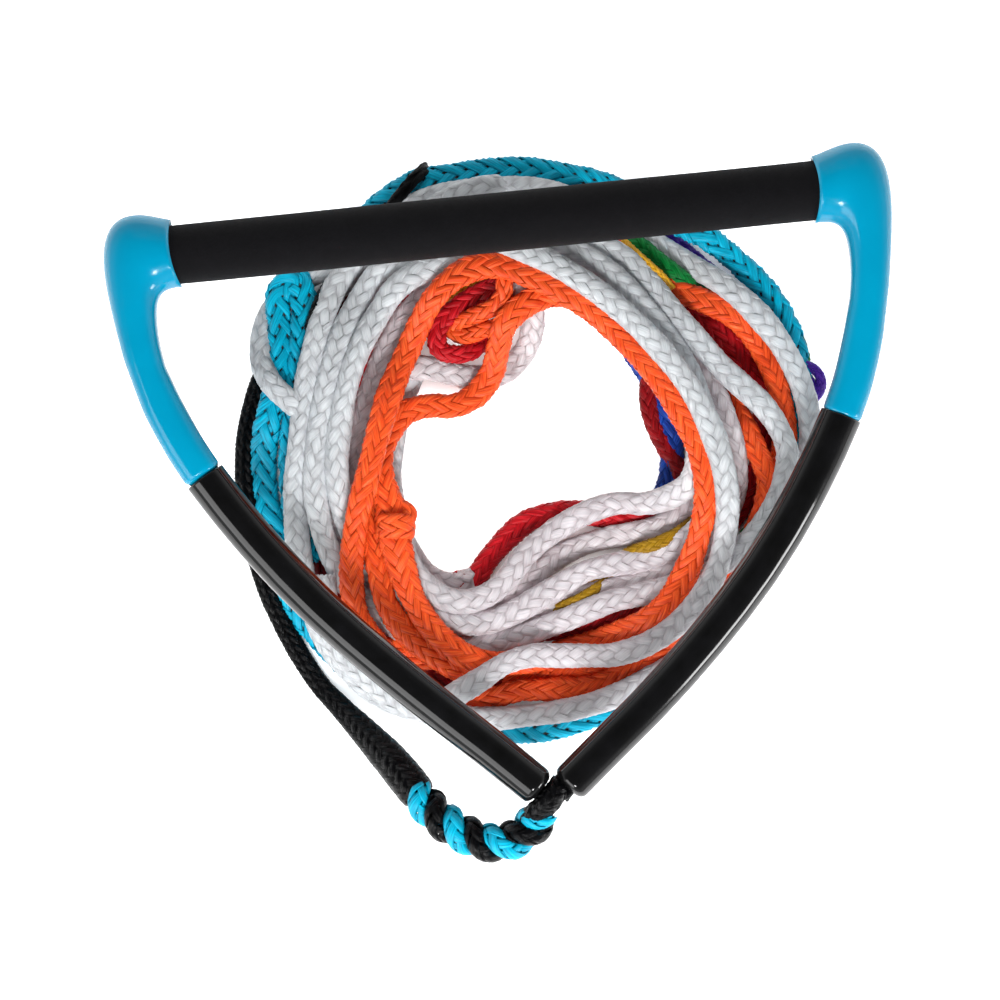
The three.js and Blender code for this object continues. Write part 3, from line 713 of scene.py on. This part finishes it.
def build_sleeve(side):
    """The soft sleeve over an arm, with a rounded end at the throat."""
    node = f"{side}_arm_sleeve"
    tree = solid_of(node)
    low, high = (np.array(c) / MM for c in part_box(node))
    seeds, sides = arm_planes(side, high[1] + 1, low[1] + 16)
    rows = blur(cross_sections(tree, seeds, sides), 2.5)
    # carried straight on past the last leg ring but one, less the rounded nose
    tip = leg_line(side)[-2, :3]
    forward = rows[-1, :3] - rows[-3, :3]
    forward /= np.linalg.norm(forward)
    nose = 4.6
    reach = np.linalg.norm(tip - rows[-1, :3]) + 3.4 - nose
    extra = np.repeat(rows[-1:], int(reach / ARM_STEP), axis=0)
    extra[:, :3] += forward * np.linspace(ARM_STEP, reach, len(extra))[:, None]
    rows = np.vstack([rows, extra])
    rows[:, 3:6] /= np.linalg.norm(rows[:, 3:6], axis=1)[:, None]
    # an even taper, fitted without the sections near the end
    steps = np.arange(len(rows))
    fitted = slice(0, -12)
    taper = np.polyfit(steps[fitted], rows[fitted, 6], 1)
    rows[:, 6] = np.clip(np.polyval(taper, steps), 10.0, 11.2)
    rows[:, 7] = rows[:, 6]
    end = rows[-1, 6]
    bend = np.radians([12, 24, 36, 48, 58, 67, 74, 79])
    dome = [(nose * math.sin(t), end * (math.cos(t) ** 0.5) - end) for t in bend]
    lip = [(dome[-1][0] - 0.8, dome[-1][1] - 0.8), (dome[-1][0] - 3.0, dome[-1][1] - 1.0)]
    start = [(0.0, -0.35), (0.35, -0.8), (2.0, -1.4)]
    obj = shell(f"{side}_sleeve_skin", rows, 72, 1.0, start, dome + lip)
    return finish_piece(obj, SLEEVE, "handle", [node])


def build_grip():
    """The grip: a sleeve with softly rounded ends and the slight waviness of cut foam."""
    low, high = (np.array(c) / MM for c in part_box("bar_grip"))
    around = 160
    wave = 0.05
    bore = 11.3
    x = np.concatenate([low[0] + np.array([0, 0.3, 1.0]), np.arange(low[0] + 2, high[0] - 1.5, 2.0),
                        high[0] - np.array([1.0, 0.3, 0])])
    a = TAU * np.arange(around) / around
    radius = np.full((len(x), around), grip_radius - 0.12)
    radius[[0, -1]] -= 0.9
    radius[[1, -2]] -= 0.35
    rng = np.random.default_rng(5)
    ripple = blur(blur(rng.normal(0, 1, radius.shape), 5, True), 9)
    radius += wave * ripple / ripple.std()
    c, s = np.cos(a), np.sin(a)
    outer = np.stack([np.repeat(x[:, None], around, 1), radius * c, bar_height + radius * s], -1)
    inner = np.stack([np.repeat(x[[-1, 0]][:, None], around, 1), np.tile(bore * c, (2, 1)),
                      bar_height + np.tile(bore * s, (2, 1))], -1)
    rings = np.concatenate([outer, inner])
    rows = len(rings)
    quads, _ = tube_faces(rows, around)
    k = np.arange(around)
    last = (rows - 1) * around
    close = np.stack([last + k, last + (k + 1) % around, (k + 1) % around, k], -1)
    obj = mesh_object("grip_suede_sleeve", rings.reshape(-1, 3), np.vstack([quads, close]))
    return finish_piece(obj, SUEDE, "handle", ["bar_grip"])


for one_side in ("left", "right"):
    build_cap(one_side)
    build_sleeve(one_side)
build_grip()


# ---- rope pieces
def slow_wave(rng, s, length):
    """A smooth random curve of about unit height that changes over the given length."""
    phases = rng.uniform(0, TAU, 4)
    stretch = length * np.array([1.0, 1.7, 2.6, 0.6])
    share = np.array([0.8, 0.9, 0.7, 0.35])
    return sum(h * np.sin(TAU * s / w + p) for h, w, p in zip(share, stretch, phases)) / 1.4


def blunt(course, ends, length=5.0, left=0.55):
    """Rounds off the named ends of a rope: 0 for its start, 1 for its end."""
    for end in ends:
        away = course.s if end == 0 else course.length - course.s
        shrink = left + (1 - left) * np.sqrt(np.clip(1 - (1 - away / length) ** 2, 0, 1))
        shrink[away > length] = 1
        course.wide *= shrink
        course.high *= shrink


def rope(name, rows, slot, nodes=(), strands=12, lay=50.0, ribbon=4.9, thick=1.05, seed=1, grow=1.24,
         tall=1.16, twist=0.08, tips=(), material=None, **more):
    """One braided rope of the coil along the rows (x, y, z, half width, half height in mm).

    grow and tall make it wider and higher than the rows say, and tips lists its blunt ends.
    """
    rows = rows.copy()
    rows[:, 3] *= grow
    rows[:, 4] *= tall
    course = Course(rows)
    rng = np.random.default_rng(1000 + seed)
    course.wide *= 1 + 0.05 * slow_wave(rng, course.s, 45)
    course.twist = twist * slow_wave(rng, course.s, 110)
    blunt(course, tips)
    obj = braid(name, course, strands, lay, ribbon, thick, seed, **more)
    return finish_piece(obj, material or ROPES[slot], "coil", nodes)


WHITE = {"thick": 0.66, "ribbon": 5.7, "grow": 1.2, "tall": 1.3, "twist": 0.14, "fill": -0.32}
# white in painted shade, for lengths deep in the pile
WHITE_PAINTED_SHADE = {**WHITE, "material": ROPES["rope_white_painted_shade"]}
for piece, nodes, slot, seed, settings in (
    ("green_line", ["line_green"], "rope_green", 11, {}),
    ("orange_inner_line", ["line_orange_inner"], "rope_orange", 12, {}),
    ("red_line", ["line_red"], "rope_red", 13, {}),
    ("yellow_line", ["line_yellow"], "rope_yellow", 14, {}),
    ("orange_outer_line", ["line_orange_outer"], "rope_orange", 17, {}),
    ("orange_right_line", ["line_orange_right"], "rope_orange", 18, {}),
    ("orange_mid_line", ["line_orange_mid"], "rope_orange", 20, {}),
    # the lowest white turns and the white loop are drawn in painted shade
    ("white_turn_1", ["line_white_1", "line_white_2"], "rope_white", 23, WHITE_PAINTED_SHADE),
    ("white_turn_3", ["line_white_3", "line_white_4"], "rope_white", 24, WHITE),
    ("white_loop", ["line_white_loop"], "rope_white", 26, {**WHITE_PAINTED_SHADE, "grow": 1.55}),
    ("white_top_line", ["line_white_top"], "rope_white", 27, WHITE),
):
    rope(piece, joined(nodes), slot, nodes, seed=seed, **settings)


def build_hidden_lengths():
    """Lengths at the bottom of the pile that only show along its edges."""
    centre = centre_of("line_cyan")
    rows = ring_line("line_violet")
    rows[:, :2] = centre[:2] + (rows[:, :2] - centre[:2]) * 0.95
    rows = turned(rows, 1, rising=False)
    # violet where it shows on the right, red in painted shade for the rest
    shown = np.flatnonzero((rows[:, 0] > 30) & (rows[:, 1] > -120))
    first, last = shown.min(), shown.max()
    rope("violet_line", rows[first:last + 1], "rope_violet", ["line_violet"], seed=10)
    rest = np.vstack([rows[last:], rows[:first + 1]])
    apart = np.linalg.norm(np.diff(rest[:, :3], axis=0, append=rest[-1:, :3]), axis=1)
    longest_step = 60
    rope("under_line", rest[apart < longest_step], "rope_violet", seed=37, material=ROPES["rope_red_low"])
    rope("blue_line", ring_line("line_blue"), "rope_blue", ["line_blue"], seed=15)
    rows = turned(ring_line("line_dark_red"), 0, rising=True)
    turn = int(np.argmax(rows[:, 0] > -34))
    # white in painted shade
    rope("inner_white_line", rows[:turn + 1], "rope_white", seed=36, **WHITE_PAINTED_SHADE)
    rope("dark_red_line", rows[turn - 1:], "rope_red", ["line_dark_red"], seed=16, tips=(0,))


# short lengths that come up between the turns: name, fibre, half width, half height, points (mm)
GLIMPSES = [
    ("yellow_rise_1", "rope_yellow", 2.6, 1.7,
     [(63, -14, 17), (68.5, -20.5, 22.0), (74, -26.5, 23.4), (80, -33, 22.0), (85, -40, 17)]),
    # painted shade: the darker yellow, for rises deep in the pile
    ("yellow_rise_2", "rope_yellow_low", 3.4, 1.8,
     [(44, -175, 8), (55, -170.5, 11.5), (64, -168.5, 13.4), (74, -165, 13), (86, -158, 9)]),
    ("yellow_rise_3", "rope_yellow_low", 3.0, 1.7,
     [(4, -199, 8), (13, -195.5, 11), (21, -193, 12.6), (30, -189, 12.0), (38, -185, 8)]),
    ("green_rise", "rope_green", 5.2, 2.6,
     [(58, -6, 10), (69, -15, 13), (79, -25, 15), (90, -35, 14), (99, -46, 9)]),
    ("green_edge", "rope_green", 3.8, 2.2,
     [(138, -50, 4), (145.5, -66, 4), (149, -80, 4), (148, -96, 5), (145, -110, 7), (140, -122, 9),
      (134, -134, 6)]),
    # painted shade: the darker red, for an edge in the shade of the ropes above
    ("red_edge_in_painted_shade", "rope_red_low", 4.6, 2.5,
     [(72, -72, 3.4), (70, -84, 3.4), (68.5, -95, 3.4), (69, -104, 3.4), (71, -112, 3.4), (74.5, -120, 3.4),
      (79, -129, 3.4), (83, -140, 3.4)]),
    ("black_rise", "rope_black", 2.6, 1.8,
     [(-102, -46, 14), (-99, -39.5, 18), (-96, -33, 20), (-93, -27, 18.5), (-89, -20, 12)]),
    ("violet_loop", "rope_violet", 2.8, 2.0,
     [(137, -84, 8), (145, -84.5, 11), (152, -86.5, 12), (156, -91, 12), (156.5, -97, 11), (153, -102, 9),
      (147, -106, 7)]),
    ("violet_strand", "rope_violet", 2.6, 1.9,
     [(140, -90, 9), (147, -90, 10), (151.5, -94, 10), (152.5, -99, 10), (149, -107, 8)]),
]


def build_glimpses():
    """The short lengths of GLIMPSES."""
    for number, (name, fibre, wide, high, points) in enumerate(GLIMPSES):
        rows = np.array([[*point, wide, high] for point in points], float)
        # the painted-shade fibres fall back to the plain fibre's slot
        rope(name, rows, fibre.removesuffix("_low"), seed=50 + number, grow=1.1, tall=1.1, ribbon=0.98 * wide,
             lay=9.0 * wide, thick=0.8, material=ROPES[fibre])


def build_orange_top():
    """The top orange turn; its loose loop begins under the turn itself."""
    nodes = ["line_orange_loop", "orange_knot", "line_orange_top"]
    rows = joined(nodes)
    rows[:2, :3] += [[6.0, 5.5, -3.5], [3.0, 4.0, -2.0]]
    rope("orange_top_line", rows, "rope_orange", nodes, seed=21, grow=1.3)


def build_riding_white():
    """The innermost white turns, which ride up between the turns on the right."""
    nodes = ["line_white_5", "line_white_6"]
    rows = joined(nodes)
    gone = np.cumsum(np.linalg.norm(np.diff(rows[:, :3], axis=0, prepend=rows[:1, :3]), axis=1))
    first_turn = gone < 300
    # from nothing at the left of a corner in X and Y to the whole shift at its right
    inside = np.clip((rows[:, 0] - 22) / 26, 0, 1) * np.clip((rows[:, 1] + 122) / 28, 0, 1)
    share = first_turn * inside ** 2 * (3 - 2 * inside)
    rows[:, :3] += share[:, None] * np.array([3.4, 3.9, 7.0])
    rope("white_turn_5", rows, "rope_white", nodes, seed=25, **WHITE)


def build_white_tail():
    """The loose end of a white length: round the outside of the cyan rope and back over it."""
    rows = ring_line("line_white_tail")
    rows[:4, 2] += [14.0, 12.0, 6.0, 1.5]
    first = rows[0] + (5.0, -5.0, 0.4, 0, 0)
    rows = np.vstack([first, rows])
    rope("white_tail", rows, "rope_white", ["line_white_tail"], seed=28, tips=(0,), **WHITE)


def build_red_loop():
    """A red bight that hangs out of the coil's inner edge, with an orange bight run through it."""
    rows = ring_line("line_red_loop")
    if rows[0, 0] > 0:
        rows = rows[::-1]
    rows = rows[1:]
    near = np.exp(-np.arange(len(rows)) / 2.2)
    rows[:, 0] += 2.0 * near
    rows[:, 1] += 3.5 * near
    lowest = 15.0
    rows[:, 2] = np.maximum(rows[:, 2] + 3, lowest)
    curl = rows[0]
    back = [curl + (6.5, 2.5, -3.0, 0, 0), curl + (11.0, 8.0, -5.0, 0, 0), curl + (16.0, 14.5, -4.5, 0, 0)]
    rows = np.vstack([back[::-1], rows])
    rope("red_loop", rows, "rope_red", ["line_red_loop"], seed=19, grow=1.35, lay=40.0, ribbon=4.2)
    corner = curl[:3] + (-3.0, 13.5, 0)
    bight = [(29, 28, 12), (27.5, 20, 13), (26.5, 14.5, 12), (21.5, 9.0, 10), (12.0, 5.5, 6), (4.0, 3.0, 0),
             (-2.0, -0.5, -4.5), (3.0, -4.0, -2.0), (14.0, -3.0, 5.5), (23.5, -0.5, 9.5), (33.5, 4.5, 12),
             (42.0, 8.5, 13.5)]
    rows = np.array([[*(corner + point), 3.9, 2.7] for point in bight], float)
    rope("orange_bight", rows, "rope_orange", seed=29, grow=1.2, lay=44.0, ribbon=3.7)


def painted_shade_core(name, rows):
    """Painted shade: a dark tube inside a hollow braid, seen through the gaps between its strands."""
    course = Course(rows)
    around = 14
    a = TAU * np.arange(around) / around
    wide = course.wide[:, None] * 1.38 - 2.3
    high = course.high[:, None] * 1.25 - 1.6
    p = course.centre[:, None] + course.side[:, None] * (wide * np.cos(a))[..., None]
    p += course.up[:, None] * (high * np.sin(a))[..., None]
    quads, ends = tube_faces(len(p), around)
    obj = mesh_object(name, p.reshape(-1, 3), quads, ends)
    return finish_piece(obj, FOAM, "coil")


def build_cyan():
    """The cyan section: a fatter, more open braid, and the black band that hitches it to the lead."""
    hitch = turned(ring_line("hitch"), 0, rising=True)
    cyan = joined(["line_cyan", "line_cyan_bight"])
    if np.linalg.norm(cyan[0, :3] - hitch[-1, :3]) > np.linalg.norm(cyan[-1, :3] - hitch[-1, :3]):
        cyan = cyan[::-1]
    run_in = hitch[0] + (-11.0, -9.5, -0.6, 0, 0)
    rows = np.vstack([run_in, hitch[:-1], cyan])
    rope("cyan_line", rows, "rope_cyan", ["line_cyan", "line_cyan_bight"], strands=8, lay=44.0, ribbon=5.7,
         thick=1.3, seed=30, grow=1.38, tall=1.25)
    # painted shade inside the cyan braid
    painted_shade_core("cyan_painted_shade_core", rows)
    middle = hitch[1:-1, :3].mean(0)
    over = [(-14, -15, 2), (-9.5, -8.0, 7.2), (-2.5, -0.5, 9.2), (4.5, 6.0, 8.0), (9.6, 10.3, 3.5),
            (11.0, 11.0, -2.0)]
    under = [(-17, -15, 0), (-9, -10.0, 4.4), (1.5, -5.3, 5.4), (10.5, -2.3, 4.6), (16.0, 1.0, 1.5)]
    for piece, path, half, nodes in (("hitch_band", over, 3.6, ["hitch"]), ("hitch_strand", under, 3.4, [])):
        rows = np.array([[*(middle + point), half, 1.6] for point in path], float)
        obj = braid(piece, Course(rows), 8, 60.0, 3.0, 0.6, 31, spacing=0.8, fill=0.0)
        finish_rope(obj, "rope_black", "coil", nodes)


def build_orange_knot():
    """The knot in the top orange length: a broad turn laid across the rope, and the ear it leaves."""
    rows = turned(ring_line("orange_knot"), 1, rising=False)
    middle = rows[1, :3] + (2.0, 0.5, 0.8)
    t = np.linspace(math.radians(215), math.radians(-75), 26)
    turn = np.column_stack([
        middle[0] + 7.2 * np.cos(t), middle[1] + np.linspace(1.4, -1.0, len(t)), middle[2] + 5.4 * np.sin(t),
        np.full(len(t), 2.9), np.full(len(t), 7.0),
    ])
    course = Course(turn, 0.8, up=(0, 1, 0))
    obj = braid("knot_turn", course, 12, 44.0, 4.4, 1.0, 41, spacing=0.9, squareness=0.9)
    finish_rope(obj, "rope_orange", "coil")
    t = np.linspace(math.radians(150), math.radians(-40), 12)
    ear = np.column_stack([
        middle[0] + 2.5 + 5.0 * np.cos(t), middle[1] + 5.5 + 4.5 * np.sin(t),
        middle[2] + np.linspace(-3.0, 2.6, len(t)), np.full(len(t), 4.0), np.full(len(t), 2.4),
    ])
    obj = braid("knot_ear", Course(ear, 0.8), 12, 44.0, 3.2, 0.9, 42, spacing=0.9, squareness=0.9)
    finish_rope(obj, "rope_orange", "coil")


def build_top_tip():
    """The blunt end of a white length that shows above the bar."""
    top = np.array(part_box("bar_grip")[1]) / MM
    path = [(-42, -9, -52), (-30, -3.0, -48), (-16, 2.6, -46), (-4, 5.0, -45), (6, 4.2, -45)]
    rows = np.array([[x, top[1] + y, top[2] + z - 4.5, 5.6, 2.8] for x, y, z in path], float)
    rope("white_tip", rows, "rope_white", seed=33, tips=(1,), **WHITE)


build_hidden_lengths()
build_glimpses()
build_orange_top()
build_riding_white()
build_white_tail()
build_orange_knot()
build_top_tip()
build_red_loop()
build_cyan()


# ---- lead
def lead_axis():
    """The middle line of the lead as far as its fat part goes, and that of the thin run into the coil."""
    parts = []
    for node in ("lead_wrap_1", "lead_splice", "lead_wrap_2", "lead_neck", "lead_body"):
        rows = turned(ring_line(node, sides=8, steepest=0.8), 0, rising=False)
        parts.append(rows[:-1] if node != "lead_body" else rows)
    return np.vstack(parts), turned(ring_line("lead_tail"), 1, rising=True)


def build_lead():
    """The lead: two plies laid round each other as far as the ball, then one black braid into the coil."""
    head, tail = lead_axis()
    hub = centre_of("throat_knot")
    near = int(np.argmin(np.linalg.norm(head[:, :3] - centre_of("lead_wrap_3"), axis=1)))
    first = [*(hub + (-1.5, -1.0, 0.5)), 8, 8]
    last = head[near] + 0.45 * (head[near + 1] - head[near])
    axis = Course(np.vstack([first, head[:near + 1], last]), 0.8)
    pitch = 25.0
    ply_wide, ply_high = 5.9, 5.0
    for piece, slot, phase, nodes in (
        ("cyan_ply", "rope_cyan", 0.05, ("lead_wrap_1", "lead_wrap_2", "lead_wrap_3")),
        ("black_ply", "rope_black", 0.55, ("lead_splice", "lead_neck")),
    ):
        turn = TAU * (axis.s / pitch + phase)
        radius = 4.9 * np.clip(0.35 + axis.s / 14, 0, 1)
        centre = axis.centre + axis.side * (radius * np.cos(turn))[:, None]
        centre += axis.up * (radius * np.sin(turn))[:, None]
        # thinner at both ends, where the plies come out of the throat and go into the braid
        thin = np.clip(0.72 + axis.s / 30, 0, 1) * np.clip(0.75 + (axis.length - axis.s) / 24, 0, 1)
        rows = np.column_stack([centre, ply_wide * thin, ply_high * thin])
        obj = braid(piece, Course(rows[::2], 1.0), 8, 30.0, 4.9, 1.1, 31, spacing=0.9, squareness=1.0)
        finish_rope(obj, slot, "lead_head", nodes)
    rows = np.vstack([head[near:], tail[1:]])
    rows[:, 3:] *= 1.36
    course = Course(rows)
    blunt(course, (0,), 4.0, 0.86)
    obj = braid("black_lead", course, 16, 44.0, 3.9, 1.3, 71, spacing=1.1, squareness=1.0, fill=0.7)
    # the stretch just past the ball, where it would bend; the lead is only baked in place, not bent
    start, end = course.place(np.array([2.0, 24.0]))
    finish_rope(obj, "rope_black", ("lead_head", "coil", start, end), ["lead_body", "lead_tail"])


def build_throat():
    """The bridle's two legs run together at the throat into one short splice that the lead comes out of."""
    hub = centre_of("throat_knot")
    # x, y, z from the throat's middle, then half width and half height
    upper = [(6.0, 14.0, -1.0, 5.0, 4.6), (4.2, 11.0, 1.5, 5.8, 5.2), (1.5, 7.0, 3.6, 6.2, 5.4),
             (-3.5, 2.5, 3.6, 6.3, 5.4), (-6.5, 0.5, 2.0, 5.4, 4.8)]
    lower = [(0.5, 5.0, 3.0, 5.4, 4.6), (-3.5, 2.5, 3.4, 6.0, 5.1), (-8.5, -1.0, 1.0, 6.2, 5.4),
             (-12.5, -3.5, -3.0, 5.2, 5.0)]
    across = ("handle", "throat", hub + (5.0, 12.5, 0.0), hub + (0.5, 3.5, 0.0))
    for piece, path, body, nodes in (
        ("throat_splice", upper, across, ["throat_knot"]),
        ("throat_wrap", lower, "lead_head", []),
    ):
        rows = np.array(path, float)
        rows[:, :3] += hub
        obj = braid(piece, Course(rows), 12, 26.0, 3.9, 1.1, 81, spacing=0.8, squareness=1.0)
        finish_rope(obj, "rope_black", body, nodes)
    for side in ("left", "right"):
        rows = leg_line(side)[-6:]
        rows[:, 3:] *= 1.15
        leg = braid(f"{side}_leg_end", Course(rows), 8, 26.0, 3.4, 0.9, 83, spacing=0.9, squareness=1.0)
        finish_rope(leg, "rope_black", "handle")


build_lead()
build_throat()

# CAD solids inside the handle, kept as they are
for material, nodes in (
    (ALUMINIUM, ["bar_tube"]),
    (FOAM, ["left_bar_plug", "right_bar_plug"]),
    (ROPES["rope_black"], ["left_anchor_knot", "right_anchor_knot", "left_bridle_leg", "right_bridle_leg"]),
):
    for node in nodes:
        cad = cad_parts[node]
        cad.data.materials.clear()
        cad.data.materials.append(material)


# ---- floor, light and camera
def build_stage():
    """A plain pale floor just under the object."""
    material, nodes, link, shader = new_material("floor_paper")
    cloud = noise(nodes, link, object_coordinates(nodes), 3.0)
    link(ramp(nodes, link, cloud, [(0.3, 0.86), (0.7, 0.88)]), shader.inputs["Base Color"])
    put(shader, Roughness=0.9, Emission_Color=(1, 1, 1, 1))
    # burnt out to white where the camera looks at it, dimmer where it lights the object
    seen = nodes.new("ShaderNodeLightPath").outputs["Is Camera Ray"]
    glow = ramp(nodes, link, seen, [(0.0, 0.5), (1.0, 0.9)])
    # painted shade: the glow fades out in the gaps between the turns, where ambient occlusion finds the floor
    # closed in
    openness = nodes.new("ShaderNodeAmbientOcclusion")
    put(openness, Distance=0.04)
    openness.samples = 8
    unshaded = ramp(nodes, link, openness.outputs["AO"], [(0.12, 0.0), (0.38, 1.0)])
    strength = nodes.new("ShaderNodeMath")
    strength.operation = "MULTIPLY"
    link(glow, strength.inputs[0])
    link(unshaded, strength.inputs[1])
    link(strength.outputs[0], shader.inputs["Emission Strength"])
    floor = bpy.data.objects.new("floor", bpy.data.meshes.new("floor"))
    half = 6.0
    level = -0.0012
    corners = [(-half, -half, level), (half, -half, level), (half, half, level), (-half, half, level)]
    floor.data.from_pydata(corners, [], [(0, 1, 2, 3)])
    floor.data.materials.append(material)
    bpy.context.scene.collection.objects.link(floor)


def area_light(name, place, wide, high, power, mirrored=True):
    """A soft box at place, turned to the coil's middle; where it isn't mirrored, it makes no highlights."""
    aim = Vector((0, -0.13, 0.02))
    data = bpy.data.lights.new(name, "AREA")
    data.energy = power
    data.shape = "RECTANGLE"
    data.size = wide
    data.size_y = high
    obj = bpy.data.objects.new(name, data)
    obj.location = place
    obj.rotation_euler = (aim - Vector(place)).to_track_quat("-Z", "Y").to_euler()
    obj.visible_glossy = mirrored
    bpy.context.scene.collection.objects.link(obj)


def build_lights():
    """A pale studio: a room that darkens overhead, one small bright box for highlights and four soft ones."""
    world = bpy.data.worlds.new("studio")
    bpy.context.scene.world = world
    world.use_nodes = True
    nodes = world.node_tree.nodes
    link = world.node_tree.links.new
    split = nodes.new("ShaderNodeSeparateXYZ")
    link(nodes.new("ShaderNodeTexCoord").outputs["Generated"], split.inputs[0])
    heights = [(0.0, 0.8), (0.25, 0.65), (0.55, 0.14), (0.9, 0.03)]
    link(ramp(nodes, link, split.outputs["Z"], heights), nodes["Background"].inputs["Color"])
    put(nodes["Background"], Strength=0.9)
    area_light("south_box", (0.0, -1.05, 1.05), 0.22, 0.18, 4.5)
    area_light("south_wash", (0.0, -1.05, 1.05), 0.6, 0.5, 23.0, mirrored=False)
    area_light("north_wash", (0.05, 1.5, 1.3), 1.8, 1.2, 23.0, mirrored=False)
    area_light("right_strip", (1.15, -1.1, 0.42), 0.5, 0.35, 8.0)
    area_light("left_strip", (-1.0, -1.05, 0.95), 1.5, 0.9, 15.0)


def build_camera():
    """Straight above, a little rolled, with half a metre across the picture at the bar's height."""
    roll = math.radians(-5.757)
    distance = 2.4
    field = 0.5
    data = bpy.data.cameras.new("camera")
    data.sensor_width = 36.0
    data.lens = data.sensor_width * (distance - bar_height * MM) / field
    camera = bpy.data.objects.new("camera", data)
    camera.location = (-0.0122, -0.1382, distance)
    camera.rotation_euler = (0, 0, roll)
    bpy.context.scene.collection.objects.link(camera)
    bpy.context.scene.camera = camera


build_stage()
build_lights()
build_camera()
bpy.context.scene.view_settings.view_transform = "Standard"
